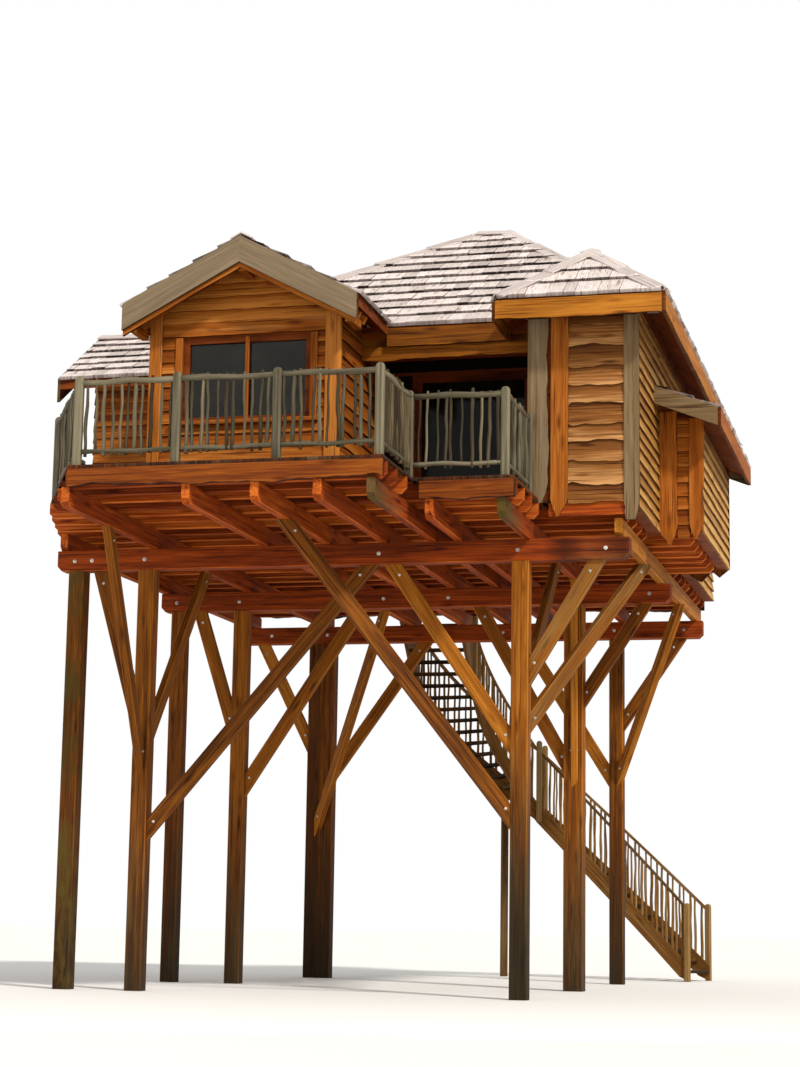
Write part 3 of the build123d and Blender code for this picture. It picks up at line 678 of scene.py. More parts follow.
def board(kit, face, polygon, thick, angle=0.0, levels=None, wave=0.0, tone=None, grey=0.0,
          painted_edge_shade=painted_side_shade, slant=0.0, upright_grain=False):
    """A board cut to a polygon, its grain at an angle.

    thick is its thickness at the low and the high level, which are the polygon's own unless given;
    slant makes the low side lighter, as sapwood, and the high side darker, as painted shade under the next
    board.
    """
    grain_x = cos(angle)
    grain_y = sin(angle)
    heights = [y * grain_x - x * grain_y for x, y in polygon]
    low, high = levels or (min(heights), max(heights))
    phases = [rng.uniform(0, wave_turn) for _ in range(4)]
    outline = []
    for here, there in zip(polygon, polygon[1:] + polygon[:1]):
        outline.append(here)
        run = (there[0] - here[0]) * grain_x + (there[1] - here[1]) * grain_y
        rise = (there[1] - here[1]) * grain_x - (there[0] - here[0]) * grain_y
        is_low = abs(here[1] * grain_x - here[0] * grain_y - low) < 0.03
        if wave and is_low and abs(run) > 0.25 and abs(rise) < 0.02:
            steps = max(2, int(abs(run) / waney_step))
            outline += waney_points(here, there, grain_x, grain_y, steps, wave, phases)
    if face.right.cross(face.up).dot(face.out) < 0:
        outline.reverse()
    tone = rng.uniform(-0.5, 0.5) if tone is None else tone
    front = []
    back = []
    places = []
    tones = []
    for x, y in outline:
        height = y * grain_x - x * grain_y
        share = (height - low) / max(high - low, 1e-6)
        depth = thick[0] + (thick[1] - thick[0]) * min(1.0, max(0.0, share))
        front.append(face.at(x, y, depth))
        back.append(face.at(x, y))
        places.append((y, x, depth) if upright_grain else (x * grain_x + y * grain_y, height, depth))
        # Low side lighter as sapwood, high side darker as painted shade under the next board
        tones.append(tone + slant * (0.5 - share))
    count = len(outline)
    points = list(front)
    grain = list(places)
    faces = [tuple(range(count))]
    # The sides carry painted shade: darker than the face, and darker still at the back
    near_edge = tone - painted_edge_shade
    far_edge = near_edge - 0.4
    for here in range(count):
        beside = (here + 1) % count
        base = len(points)
        points += [front[here], back[here], back[beside], front[beside]]
        grain += [places[here], places[here], places[beside], places[beside]]
        tones += [near_edge, far_edge, far_edge, near_edge]
        faces.append((base, base + 1, base + 2, base + 3))
    kit.add(points, faces, grain, tones, grey)


def strips(kit, face, regions, widths=(0.15, 0.2), thick=(0.03, 0.01), angle=0.0, wave=0.006, gap=0.004,
           grey=0.0, start=None, slant=0.7, tones=(-0.35, 0.35)):
    """Boards side by side over one or more convex regions; waney ones lap over each other."""
    across_x = -sin(angle)
    across_y = cos(angle)
    levels = [x * across_x + y * across_y for region in regions for x, y in region]
    low = min(levels) if start is None else start
    top = max(levels)
    while low < top - 0.005:
        high = min(top, low + rng.uniform(*widths))
        if top - high < least_board:
            high = top
        tone = rng.uniform(*tones)
        shade = grey if isinstance(grey, (int, float)) else rng.choice(grey)
        for region in regions:
            below = clip(region, across_x, across_y, high - gap + waney_lap * wave)
            piece = clip(below, -across_x, -across_y, -low)
            if len(piece) > 2:
                board(kit, face, piece, thick, angle, (low, high), wave, tone, shade, slant=slant)
        low = high


# Where the roofs' top surfaces lie
def hipped_height(x, y, left, right, front, back, left_slope, end_slope):
    """A hipped roof's top surface, or -1 beside it."""
    low = eave_top + min(
        (y - front) * end_slope, (back - y) * end_slope, (x - left) * left_slope, (right - x) * right_pitch
    )
    return low if low >= eave_top - 0.001 else -1.0


def main_height(x, y):
    return hipped_height(x, y, main_left, main_right, main_front, main_back, left_pitch, front_pitch)


def bay_height(x, y):
    return hipped_height(x, y, bay_left, main_right, bay_front, bay_back, right_pitch, right_pitch)


def gable_height(x, y):
    """The front gable's top surface."""
    if abs(x - gable_x) > gable_half or not gable_verge <= y <= ridge_y:
        return -1.0
    return gable_top - abs(x - gable_x) * gable_pitch


def wing_height(x, y):
    """The left wing's top surface."""
    if abs(y - wing_y) > wing_half or not wing_verge <= x <= ridge_left:
        return -1.0
    return wing_top - abs(y - wing_y) * wing_pitch


def roof_height(x, y):
    return max(main_height(x, y), bay_height(x, y), gable_height(x, y), wing_height(x, y))


# Bolts
bolts = Kit()


def bolt(centre, out, radius=0.026):
    """A washer with a domed nut on it."""
    centre = Vector(centre)
    out = Vector(out).normalized()
    helper = Vector((0, 0, 1)) if abs(out.z) < 0.8 else Vector((1, 0, 0))
    across = out.cross(helper).normalized()
    other = out.cross(across)
    sides = 8
    rings = ((1, 0.0), (1, 0.004), (0.55, 0.005), (0.52, 0.016), (0.25, 0.02))
    points = []
    for share, height in rings:
        reach = radius * share
        for corner in range(sides):
            angle = 2 * pi * corner / sides
            turned = across * (reach * cos(angle)) + other * (reach * sin(angle))
            points.append(centre + turned + out * height)
    cap = tuple(range(len(points) - sides, len(points)))
    bolts.add(points, ring_faces(len(rings), sides) + [cap], [tuple(point) for point in points])


def beam_bolts(x, y):
    """A bolt on each side of a beam."""
    for out in (-1, 1):
        bolt((x, y + out * beam_width / 2, beam_middle), (0, out, 0))


# Posts
def post_grey(point):
    """Posts are greyer near the ground, the front right one most."""
    if point.y < 1 and point.x > 0:
        return 1.05 - 0.28 * min(point.z, 3.4)
    return 0.72 - 0.2 * min(point.z, 3.2)


def post_tone(painted_post_shade):
    """Posts are darker near the ground, the front right one most, and darkened by their painted shade."""
    def tone(point):
        depth = 1.1 if point.y < 1 and point.x > 0 else 0.5
        return 0.1 - depth * max(0.0, 1 - point.z / 3.4) + painted_post_shade

    return tone


# The posts of each row: their X and how much painted shade darkens them
post_rows = {
    "front_posts": ((-column, -0.25), (column, 0.0), (outrigger_x, -0.55)),
    "middle_posts": ((-column, -0.2), (column, -0.15), (outrigger_x, -0.45)),
    "rear_posts": ((-column, -0.85), (column, -0.5), (-column + post_side, -0.6)),
}
for y, (name, posts) in zip(row_y, post_rows.items()):
    kit = Kit()
    for x, painted_post_shade in posts:
        side = big_post_side if (name, x) == ("middle_posts", column) else post_side
        moss = 0.42 if (name, x) == ("front_posts", outrigger_x) else 0.0
        upright(
            kit, x, y, 0, beam_low, side, side, bevel=0.012, tone=post_tone(painted_post_shade), grey=post_grey,
            moss=moss, spans=12,
        )
        beam_bolts(x - 0.03, y)
    make(kit, "dressed_" + name, timber_wood, (name,))


# Beams
def beam_tone(point):
    """The front beam is stained dark towards its right end."""
    return -0.25 - (0.7 * max(0.0, sin(9.0 * point.x + 1.0)) if point.y < 1 and point.x > 2.5 else 0.0)


def beam_grey(point):
    return 0.05 + (0.3 if point.y < 1 and point.x > 2.7 else 0.0)


kit = Kit()
for y in row_y:
    bar(
        kit, (beam_left, y, beam_middle), (beam_right, y, beam_middle), beam_width, beam_high - beam_low,
        nose=end_chamfer, tone=beam_tone, grey=beam_grey, spans=28,
    )
    for x in beam_bolt_x:
        beam_bolts(x, y)
make(kit, "dressed_main_beams", painted_underside_wood, ("main_beams",))


# Girders
def fading(strongest, weakest, fall, front):
    """A value that is strongest at a girder's open front end."""
    return lambda point: max(weakest, strongest - fall * max(0.0, point.y - front))


girder_count = len(girder_x)
girder_tones = [-0.15 if index in mossy_girders else rng.uniform(-0.15, 0.3) for index in range(girder_count)]
# The outer girder lies outside the underside's painted shade: it is lighter and made of the plain timber
girder_tones[-1] = 0.35
middle = (beam_high + girder_high) / 2
kit = Kit()
outer_girder = Kit()
for index, (x, front) in enumerate(zip(girder_x, girder_front)):
    mossy = index in mossy_girders
    bar(
        outer_girder if index == girder_count - 1 else kit, (x, front, middle), (x, girder_back, middle),
        girder_width, girder_high - beam_high, nose=end_chamfer, tone=girder_tones[index],
        grey=fading(0.75, 0.1, 0.4, front) if mossy else 0.1,
        moss=fading(0.5, 0.0, 0.3, front) if mossy else 0.0, spans=24,
    )
make(kit, "dressed_girders", painted_underside_wood, ("floor_girders",))
make(outer_girder, "dressed_outer_girder", timber_wood, ("floor_girders",))


# Joists
def left_end(y):
    """How far left the deck reaches."""
    for (y0, x0), (y1, x1) in zip(left_edge, left_edge[1:]):
        if y <= y1:
            return x0 + (x1 - x0) * (y - y0) / (y1 - y0)
    return deck_left


def right_end(y):
    """How far right the joists reach."""
    if y < step_rim_y:
        return step_x
    if y < bay_rim_y:
        return bay_x
    if bump_front_y + side_wall <= y <= bump_back_y - side_wall:
        return bump_deck_right
    return deck_right


middle = (girder_high + joist_high) / 2
kit = Kit()
for index in range(joist_count):
    y = joist_first_y + index * joist_pitch
    if y <= deck_back - joist_width / 2:
        bar(
            kit, (left_end(y), y, middle), (right_end(y), y, middle), joist_width, joist_high - girder_high,
            nose=end_chamfer, grey=0.15, spans=6,
        )
make(kit, "dressed_joists", painted_underside_wood, ("floor_joists",))

# The rims are waney-edged slabs
kit = Kit()
for face, left, right in (
    (front_face(front_rim_y + rim_width / 2), left_end(front_rim_y), step_x),
    (front_face(step_rim_y + rim_width / 2), step_x + rim_width, bay_x),
    (Face((0, deck_back - rim_width, 0), (1, 0, 0), (0, 0, 1), (0, 1, 0)), deck_left, deck_right),
):
    slab = rect(left, right, girder_high, joist_high)
    board(kit, face, slab, (rim_width, rim_width), wave=0.016, tone=-0.4, grey=0.15)
make(kit, "dressed_rims", clad_wood, ("rim_beams",))

# Deck boards, which run from front to back
kit = Kit()
regions = []
for y0, y1, right in (
    (front_rim_y - rim_width / 2, step_rim_y - rim_width / 2, step_x),
    (step_rim_y - rim_width / 2, bay_rim_y, bay_x),
    (bay_rim_y, bump_front_y + side_wall, deck_right),
    (bump_front_y + side_wall, bump_back_y - side_wall, bump_deck_right),
    (bump_back_y - side_wall, deck_back, deck_right),
):
    bends = [(x, y) for y, x in reversed(left_edge[1:-1]) if y0 < y < y1]
    front_end = (left_end(max(y0, front_rim_y)), y0)
    regions.append([(right, y0), (right, y1), (left_end(y1), y1), *bends, front_end])
deck_thick = floor_top - joist_high
strips(
    kit, level_face(joist_high), regions, (0.135, 0.145), (deck_thick, deck_thick), pi / 2, wave=0.0,
    gap=0.006, grey=(0.1, 0.3, 0.5), slant=0.0,
)
make(kit, "deck_boards", deck_wood, ("deck_floor",))

# Braces of a row: the post's X, how high each starts on it, the X of its head under the beam, and its grey
front_y, middle_y, back_y = row_y
row_braces = {
    "front_braces": (
        (column, 2.82, 0.78, 0.15), (column, 3.65, 3.29, 0.45),
        (-column, 1.82, 0.48, 0.15), (-column, 3.0, -3.0, 0.2),
    ),
    "middle_braces": (
        (column, 2.8, 1.05, 0.1), (column, 3.7, 3.33, 0.1),
        (-column, 2.55, -0.66, 0.1), (-column, 3.2, -3.0, 0.1),
    ),
    "rear_braces": (
        (column, 2.9, 0.95, 0.1), (column, 3.75, 3.33, 0.1),
        (-column, 2.7, -0.62, 0.1), (-column, 3.4, -3.25, 0.1),
    ),
}
braces = {
    name: [((x, y, low), (head_x, y, beam_low), grey) for x, low, head_x, grey in places]
    for y, (name, places) in zip(row_y, row_braces.items())
}

# Braces to a girder: the post's X and Y, how high each starts, the girder, the Y of its head, and its grey
braces["girder_braces"] = [
    ((x, y, low), (girder_x[girder], head_y, beam_high), grey)
    for x, y, low, girder, head_y, grey in (
        (column, front_y, 1.96, 3, -1.8, 0.2), (-column, front_y, 2.6, 1, -1.65, 0.2),
        (column, front_y, 3.09, 8, 2.09, 0.5), (column, front_y, 3.45, 7, 1.9, 0.3),
        (-column, front_y, 2.9, 1, 1.9, 0.2), (column, middle_y, 2.5, 7, 3.25, 0.2),
        (column, back_y, 2.95, 8, 5.8, 0.0), (-column, back_y, 2.15, 2, 5.9, 0.1),
    )
]


def brace(kit, foot, top, grey):
    """A brace that starts where it leaves a plain post's face, with a bolt through each end."""
    foot = Vector(foot)
    top = Vector(top)
    flat = Vector((top.x - foot.x, top.y - foot.y, 0))
    along = flat.normalized()
    slope_up = (top.z - foot.z) / flat.length
    sideways = abs(along.x) >= abs(along.y)
    reach = post_side / 2 / abs(along.x if sideways else along.y)
    start = foot + along * reach + Vector((0, 0, slope_up * reach))
    cut = (1, 0, 0) if sideways else (0, 1, 0)
    bar(kit, start, top, brace_width, brace_depth, (0, 0, 1), cut, (0, 0, 1), grey=grey, spans=6)
    across = along.cross(Vector((0, 0, 1)))
    near = start + (top - start).normalized() * 0.12
    far = top - (top - start).normalized() * 0.16
    for out in (-1, 1):
        for place in (near, far):
            bolt(place + across * (out * brace_width / 2), across * out, 0.018)


for name, bars in braces.items():
    kit = Kit()
    for foot, top, grey in bars:
        brace(kit, foot, top, grey)
    make(kit, "dressed_" + name, timber_wood, (name,))


# Roof shingles
def shingle_plane(kit, face, width, rise, region, height, row):
    """Rows of split shingles on one roof slope; height(x, y) says which roof is uppermost there."""
    for index in range(int(ceil(rise / row))):
        low = index * row - (first_row_drop if index == 0 else 0.0)
        high = min((index + row_lap) * row, rise + 0.02)
        x = -0.15 * rng.random()
        while x < width:
            left = x + shingle_gap
            x += rng.uniform(*shingle_widths)
            right = x - shingle_gap
            foot = low - rng.uniform(-0.012, 0.014)
            whole = [(left, foot), (right, foot + rng.uniform(-0.004, 0.004)), (right, high), (left, high)]
            piece = inside(whole, region)
            if not piece:
                continue
            middle = face.at(*(sum(values) / len(piece) for values in zip(*piece)))
            if height(middle.x, middle.y) > middle.z + covered_by:
                continue
            tone = rng.choice((0.2, 0.3, 0.4, 0.5, -0.1)) + rng.uniform(-0.12, 0.12)
            thick = (shingle_thick * rng.uniform(0.85, 1.15), shingle_thin)
            # The butts of the shingles carry painted shade, lighter on the first row at the eave
            board(
                kit, face, piece, thick, 0.0, (low, high), 0.0, tone, rng.choice((0.2, 0.4, 0.6)),
                painted_edge_shade=0.5 if index == 0 else 1.45, upright_grain=True,
            )


def slope(kit, corners, height=roof_height, row=shingle_row):
    """Shingles on a flat slope; its first two corners are the eave's ends, left to right from outside."""
    corners = [Vector(corner) for corner in corners]
    start = corners[0]
    right = (corners[1] - start).normalized()
    up = right.cross(corners[2] - start).normalized().cross(right)
    region = [((corner - start).dot(right), (corner - start).dot(up)) for corner in corners]
    shift = min(x for x, y in region)
    rise = max(y for x, y in region)
    width = max(x for x, y in region) - shift
    region = [(x - shift, y - eave_overhang if y < 0.001 else y) for x, y in region]
    face = Face(start + right * shift, right, up, right.cross(up))
    shingle_plane(kit, face, width, rise, region, height, row)


def eave_corners(left, right, front, back):
    """The four corners of an eave: front left, front right, back right and back left."""
    return [(x, y, eave_top) for x, y in rect(left, right, front, back)]


front_left, front_right, back_right, back_left = eave_corners(main_left, main_right, main_front, main_back)
left_peak = (ridge_left, ridge_y, ridge_top)
right_peak = (ridge_right, ridge_y, ridge_top)
bay_corners = eave_corners(bay_left, main_right, bay_front, bay_back)
bay_front_left, bay_front_right, bay_back_right, bay_back_left = bay_corners
bay_front_peak = (bay_ridge_x, bay_front + bay_run, bay_ridge_top)
bay_back_peak = (bay_ridge_x, bay_back - bay_run, bay_ridge_top)
kit = Kit()
for corners in (
    (front_left, front_right, right_peak, left_peak),
    (back_right, back_left, left_peak, right_peak),
    (back_left, front_left, left_peak),
    (front_right, back_right, right_peak),
    (bay_front_left, bay_front_right, bay_front_peak),
    (bay_back_right, bay_back_left, bay_back_peak),
    (bay_back_left, bay_front_left, bay_front_peak, bay_back_peak),
    (bay_front_right, bay_back_right, bay_back_peak, bay_front_peak),
):
    slope(kit, corners)
make(kit, "main_roof_shingles", shingle_wood)

gable_low = gable_top - gable_half * gable_pitch
gable_left = gable_x - gable_half
gable_right = gable_x + gable_half
gable_peaks = [(gable_x, gable_verge, gable_top), (gable_x, ridge_y, gable_top)]
kit = Kit()
slope(kit, [(gable_left, ridge_y, gable_low), (gable_left, gable_verge, gable_low), *gable_peaks])
slope(kit, [(gable_right, gable_verge, gable_low), (gable_right, ridge_y, gable_low), *gable_peaks[::-1]])
make(kit, "gable_roof_shingles", shingle_wood)

wing_low = wing_top - wing_half * wing_pitch
wing_front = wing_y - wing_half
wing_back = wing_y + wing_half
wing_peaks = [(ridge_left, wing_y, wing_top), (wing_verge, wing_y, wing_top)]
kit = Kit()
front_eave = [(wing_verge, wing_front, wing_low), (ridge_left, wing_front, wing_low)]
back_eave = [(ridge_left, wing_back, wing_low), (wing_verge, wing_back, wing_low)]
slope(kit, front_eave + wing_peaks, row=wing_row)
slope(kit, back_eave + wing_peaks[::-1], row=wing_row)
make(kit, "wing_roof_shingles", shingle_wood)

# The main roof hangs free above the bump's roof, so no shingle is left out under it
kit = Kit()
slope(
    kit,
    [
        (bump_eave, bump_roof_front, bump_low), (bump_eave, bump_roof_back, bump_low),
        (side_wall_x, bump_roof_back, bump_high), (side_wall_x, bump_roof_front, bump_high),
    ],
    lambda x, y: 0.0,
)
make(kit, "bump_roof_shingles", shingle_wood)


# Ridge and hip caps
def cap_line(kit, start, end):
    """Pairs of short cap boards along a ridge or hip."""
    start = Vector(start)
    end = Vector(end)
    length = (end - start).length
    along = (end - start).normalized()
    count = max(1, round(length / cap_length))
    flat = along.cross(Vector((0, 0, 1))).normalized()
    for index in range(count):
        low = start + along * (length * index / count)
        high = start + along * (length * (index + 1) / count + 0.03)
        for out in (-1, 1):
            lean = (flat * out - Vector((0, 0, 0.55))).normalized()
            start_at = low + lean * (cap_width / 2) + Vector((0, 0, 0.055))
            end_at = high + lean * (cap_width / 2) + Vector((0, 0, 0.035))
            tone = rng.uniform(-0.1, 0.4)
            bar(kit, start_at, end_at, cap_thick, cap_width, lean, bevel=0.003, grey=0.7, tone=tone)


def bare_hip(peak, corner, out):
    """How far down a hip of the main roof the bay's roof doesn't yet cover the slope beside it."""
    share = 0.0
    while share < 1:
        spot = peak.lerp(corner, share + 0.01)
        if bay_height(spot.x, spot.y + out) > main_height(spot.x, spot.y + out):
            break
        share += 0.01
    return share - 0.02


kit = Kit()
for start, end in (
    (left_peak, right_peak), (front_left, left_peak), (back_left, left_peak),
    (bay_front_right, bay_front_peak), (bay_back_right, bay_back_peak),
    (bay_front_left, bay_front_peak), (bay_back_left, bay_back_peak),
    (gable_peaks[0], (gable_x, main_front + (gable_top - eave_top) / front_pitch, gable_top)),
    (wing_peaks[1], (main_left + (wing_top - eave_top) / left_pitch, wing_y, wing_top)),
):
    cap_line(kit, start, end)
for corner, out in ((front_right, -0.15), (back_right, 0.15)):
    peak = Vector(right_peak)
    corner = Vector(corner)
    cap_line(kit, peak, peak.lerp(corner, bare_hip(peak, corner, out)))
make(kit, "ridge_caps", shingle_wood)


# Gable front: the boards stand on the walls of the frame
def under_gable(x):
    return gable_top - abs(x - gable_x) * gable_pitch - roof_plumb - 0.005


front = front_face(gable_front_y)
left = gable_left_x + 0.02
right = gable_right_x - 0.02
lintel_top = head + 0.19
beside_window = [
    rect(left, window_left - margin, floor_top, head),
    rect(window_right + margin, right, floor_top, head),
    rect(window_left - margin, window_right + margin, floor_top, sill - 0.02),
]
above_window = [(left, head), (right, head), *((x, under_gable(x)) for x in (right, gable_x, left))]
kit = Kit()
strips(kit, front, beside_window, (0.15, 0.19), (0.036, 0.008), start=floor_top, slant=0.6)
above_lintel = clip(above_window, 0, -1, -lintel_top)
# The boards above the lintel are made lighter: painted light on boards that lie in the roof's shadow
strips(
    kit, front, [above_lintel], (0.15, 0.165), (0.038, 0.008), wave=0.007, slant=0.9, tones=(0.35, 0.75),
)
lintel = rect(left + 0.06, right - 0.06, head + 0.02, lintel_top + 0.01)
board(kit, front, lintel, (0.044, 0.03), levels=(head, lintel_top), wave=0.004, tone=0.1, grey=0.2)
make(kit, "gable_boards", clad_wood)

# Gable side, facing the porch, and the left side, which is drawn from front to back
kit = Kit()
left_side = Face((gable_left_x, 0, 0), (0, 1, 0), (0, 0, 1), (-1, 0, 0))
for face, y0, y1, top in (
    (right_face(gable_right_x), gable_front_y, porch_back_y, porch_side_top),
    (left_side, gable_front_y, wing_front_y, left_side_top),
    (left_side, wing_back_y, rear_wall_y, left_side_top),
):
    strips(kit, face, [rect(y0, y1, floor_top, top)], (0.15, 0.21), (0.030, 0.008))
make(kit, "side_boards", clad_wood)


# Right bay front: a wide grey board, a pointed orange board, a waney panel and a corner board
def pointed(kit, face, x0, x1, drop, top, thick, grey, wave=0.006, tone=None, tongue=0.3, plain=False):
    """An upright board whose foot, below the floor, curves in to a tongue or is cut to a plain point."""
    tip = floor_top - drop
    wide = x1 - x0
    middle = (x0 + x1) / 2 + rng.uniform(-0.02, 0.02)
    left = middle - wide * tongue / 2
    right = middle + wide * tongue / 2
    if plain:
        foot = [(x0, tip + 0.12), (middle, tip), (x1, tip + 0.1)]
    else:
        foot = [
            (x0, tip + 0.21), (x0 + wide * 0.1, tip + 0.14), ((x0 + left) / 2, tip + 0.10),
            (left, tip + 0.055), (left + wide * 0.04, tip), (right - wide * 0.04, tip + 0.005),
            (right, tip + 0.05), ((x1 + right) / 2, tip + 0.11), (x1 - wide * 0.08, tip + 0.16),
            (x1, tip + 0.23),
        ]
    board(kit, face, foot + [(x1, top), (x0, top)], (thick, thick), pi / 2, (-x1, -x0), wave, tone, grey)


bay = front_face(bay_front_y)
kit = Kit()
panel = rect(panel_left, panel_right, floor_top - 0.06, bay_board_top)
strips(kit, bay, [panel], (0.21, 0.30), (0.046, 0.012), wave=0.019, slant=0.9, tones=(-0.3, 0.35))
make(kit, "bay_panel_boards", panel_wood)
kit = Kit()
pointed(kit, bay, panel_left - 0.21, panel_left, 0.22, bay_board_top, 0.05, 0.0, tone=0.25)
make(kit, "bay_pointed_board", clad_wood)
kit = Kit()
skirt = rect(grey_board_right + 0.01, side_wall_x - 0.02, floor_top - 0.215, floor_top - 0.05)
board(kit, bay, skirt, (0.02, 0.012), wave=0.006, tone=0.0, grey=0.1)
make(kit, "bay_skirt_board", painted_underside_wood)
kit = Kit()
grey_board_left = grey_board_right - 0.25
corner_right = panel_right + 0.18
pointed(kit, bay, grey_board_left, grey_board_right, 0.05, bay_board_top, 0.045, 0.5, 0.012, 0.2, 0.55)
pointed(kit, bay, panel_right, corner_right, 0.28, bay_board_top, 0.055, 0.3, 0.004, 0.1, 0.7)
make(kit, "bay_grey_boards", weathered_wood)

# Right side: level lapped boards
kit = Kit()
for x, y0, y1, low, high, tones in (
    (side_wall_x, bay_front_y, bump_front_y, wall_low, eave_wall_top, (-0.1, 0.5)),
    (side_wall_x, bump_back_y, rear_bay_y, wall_low, eave_wall_top, (-0.1, 0.5)),
    (side_wall_x, bump_front_y, bump_back_y, bump_high + 0.05, eave_wall_top, (-0.1, 0.5)),
    (bump_wall_x, bump_front_y, bump_back_y, wall_low, bump_low - 0.1, (0.1, 0.7)),
):
    side = [rect(y0, y1, low, high)]
    strips(kit, right_face(x), side, (0.13, 0.155), (0.036, 0.006), wave=0.004, tones=tones)
make(kit, "lapped_side_boards", side_wood)

# The bump's two ends
kit = Kit()
bump_front = front_face(bump_front_y)
bump_rear = back_face(bump_back_y)
bump_top = bump_low - 0.02
inner = side_wall_x + 0.02
outer = bump_wall_x + 0.03
gap_left = inner + 0.23
gap_right = outer - 0.18
between = rect(gap_left, gap_right, floor_top - 0.20, bump_top)
pointed(kit, bump_front, inner, gap_left, 0.28, bump_top + 0.1, 0.045, 0.0, tone=0.2)
strips(kit, bump_front, [between], (0.17, 0.21), (0.026, 0.008), wave=0.0)
pointed(kit, bump_front, gap_right, outer, 0.22, bump_top, 0.04, 0.1, wave=0.014, tone=0.1)
pointed(kit, bump_rear, -outer, -outer + 0.26, 0.22, bump_top, 0.04, 0.2, plain=True)
pointed(kit, bump_rear, -outer + 0.27, -inner, 0.28, bump_top, 0.03, 0.1, plain=True)
make(kit, "bump_end_boards", clad_wood)

# Porch wall: its near-black wood is painted deep shade
kit = Kit()
porch_middle = (gable_right_x + bay_x) / 2
porch_regions = [
    rect(gable_right_x, porch_middle - door_half - margin, floor_top, door_head + 0.02),
    rect(porch_middle + door_half + margin, bay_x, floor_top, door_head + 0.02),
    rect(gable_right_x, bay_x, door_head + 0.07, porch_wall_top),
]
strips(kit, front_face(porch_back_y), porch_regions)
make(kit, "porch_boards", painted_shade_porch_wood)

# Rear walls, drawn from right to left, and the bays' inner sides
kit = Kit()
strips(kit, left_face(bay_x), [rect(-porch_back_y, -bay_front_y, floor_top, eave_wall_top)])
half_gap = rear_opening_half + margin
window_near = rear_window_x + half_gap
window_far = rear_window_x - half_gap
door_near = rear_door_x + half_gap
door_far = rear_door_x - half_gap
rear_regions = [
    rect(-bay_x, -window_near, floor_top, door_head),
    rect(-window_far, -door_near, floor_top, door_head),
    rect(-door_far, -gable_left_x, floor_top, door_head),
    rect(-window_near, -window_far, floor_top, sill - 0.02),
    rect(-bay_x, -gable_left_x, head + 0.02, rear_wall_top),
]
strips(kit, back_face(rear_wall_y), rear_regions, start=floor_top)
strips(kit, back_face(rear_bay_y), [rect(-side_wall_x, -bay_x, floor_top - 0.05, eave_wall_top)], wave=0.01)
strips(kit, left_face(bay_x), [rect(-rear_bay_y, -rear_wall_y, floor_top, eave_wall_top)])
make(kit, "rear_boards", clad_wood)

# Wing
kit = Kit()
strips(kit, front_face(wing_front_y), [rect(wing_left_x, gable_left_x, floor_top, wing_side_top)])
strips(kit, back_face(wing_back_y), [rect(-gable_left_x, -wing_left_x, floor_top, wing_side_top)])
wing_end = [
    (-wing_back_y, floor_top), (-wing_front_y, floor_top), (-wing_front_y, left_side_top),
    (-wing_y, wing_end_top), (-wing_back_y, left_side_top),
]
strips(kit, left_face(wing_left_x), [wing_end])
make(kit, "wing_boards", clad_wood)

# Corner posts, window linings and the window's middle post
kit = Kit()
corner_y = gable_front_y - 0.03
upright(kit, gable_left_x - 0.01, corner_y, floor_top, left_corner_top, 0.16, 0.06, tone=0.4, grey=0.15)
upright(kit, gable_right_x - 0.05, corner_y, floor_top, right_corner_top, 0.20, 0.06, tone=0.75, grey=0.1)
for x in (window_left - 0.05, window_right + 0.05):
    upright(kit, x, gable_front_y - 0.025, sill - 0.05, head, 0.09, 0.06, grey=0.1)
sill_place = (gable_front_y - 0.05, sill - 0.02)
bar(kit, (window_left - 0.12, *sill_place), (window_right + 0.12, *sill_place), 0.12, 0.05, grey=0.2)
upright(kit, gable_middle, gable_front_y + 0.02, sill, head, 0.05, 0.05)
make(kit, "gable_trim", clad_wood)


# Eave boards
def fascia(kit, x0, y0, x1, y1, out):
    """A board under an eave between two plan points, facing out."""
    length = hypot(x1 - x0, y1 - y0)
    face = Face((x0, y0, 0), ((x1 - x0) / length, (y1 - y0) / length, 0), (0, 0, 1), out)
    outline = rect(0, length, fascia_high - fascia_height, fascia_high)
    board(kit, face, outline, (fascia_width, fascia_width), wave=0.006, grey=0.05)


kit = Kit()
for x0, y0, x1, y1, out in (
    (gable_right, main_front, bay_left, main_front, (0, -1, 0)),
    (bay_left, main_front, bay_left, bay_front, (-1, 0, 0)),
    (bay_left, bay_front, main_right, bay_front, (0, -1, 0)),
    (main_right, bay_front - fascia_width, main_right, bay_back + fascia_width, (1, 0, 0)),
    (main_right, bay_back, bay_left, bay_back, (0, 1, 0)),
    (bay_left, bay_back, bay_left, main_back, (-1, 0, 0)),
    (bay_left, main_back, main_left, main_back, (0, 1, 0)),
    (main_left, main_back + fascia_width, main_left, wing_back, (-1, 0, 0)),
):
    fascia(kit, x0, y0, x1, y1, out)
make(kit, "fascia_boards", timber_wood, ("eave_fascias",))


# Bargeboards, and the eave board of the bump's roof
def rake(kit, face, ridge, half, top, pitch, grey):
    """The two sloping boards of a gable, met on a plumb cut at the ridge."""
    drop = half * pitch
    low = top - drop
    for sign in (-1, 1):
        end = ridge + sign * half
        corners = [(ridge, top - barge_depth), (end, low - barge_depth), (end, low), (ridge, top)]
        if sign < 0:
            corners = [corners[1], corners[0], corners[3], corners[2]]
        board(kit, face, corners, (barge_thick, barge_thick), -sign * atan2(drop, half), tone=0.2, grey=grey)


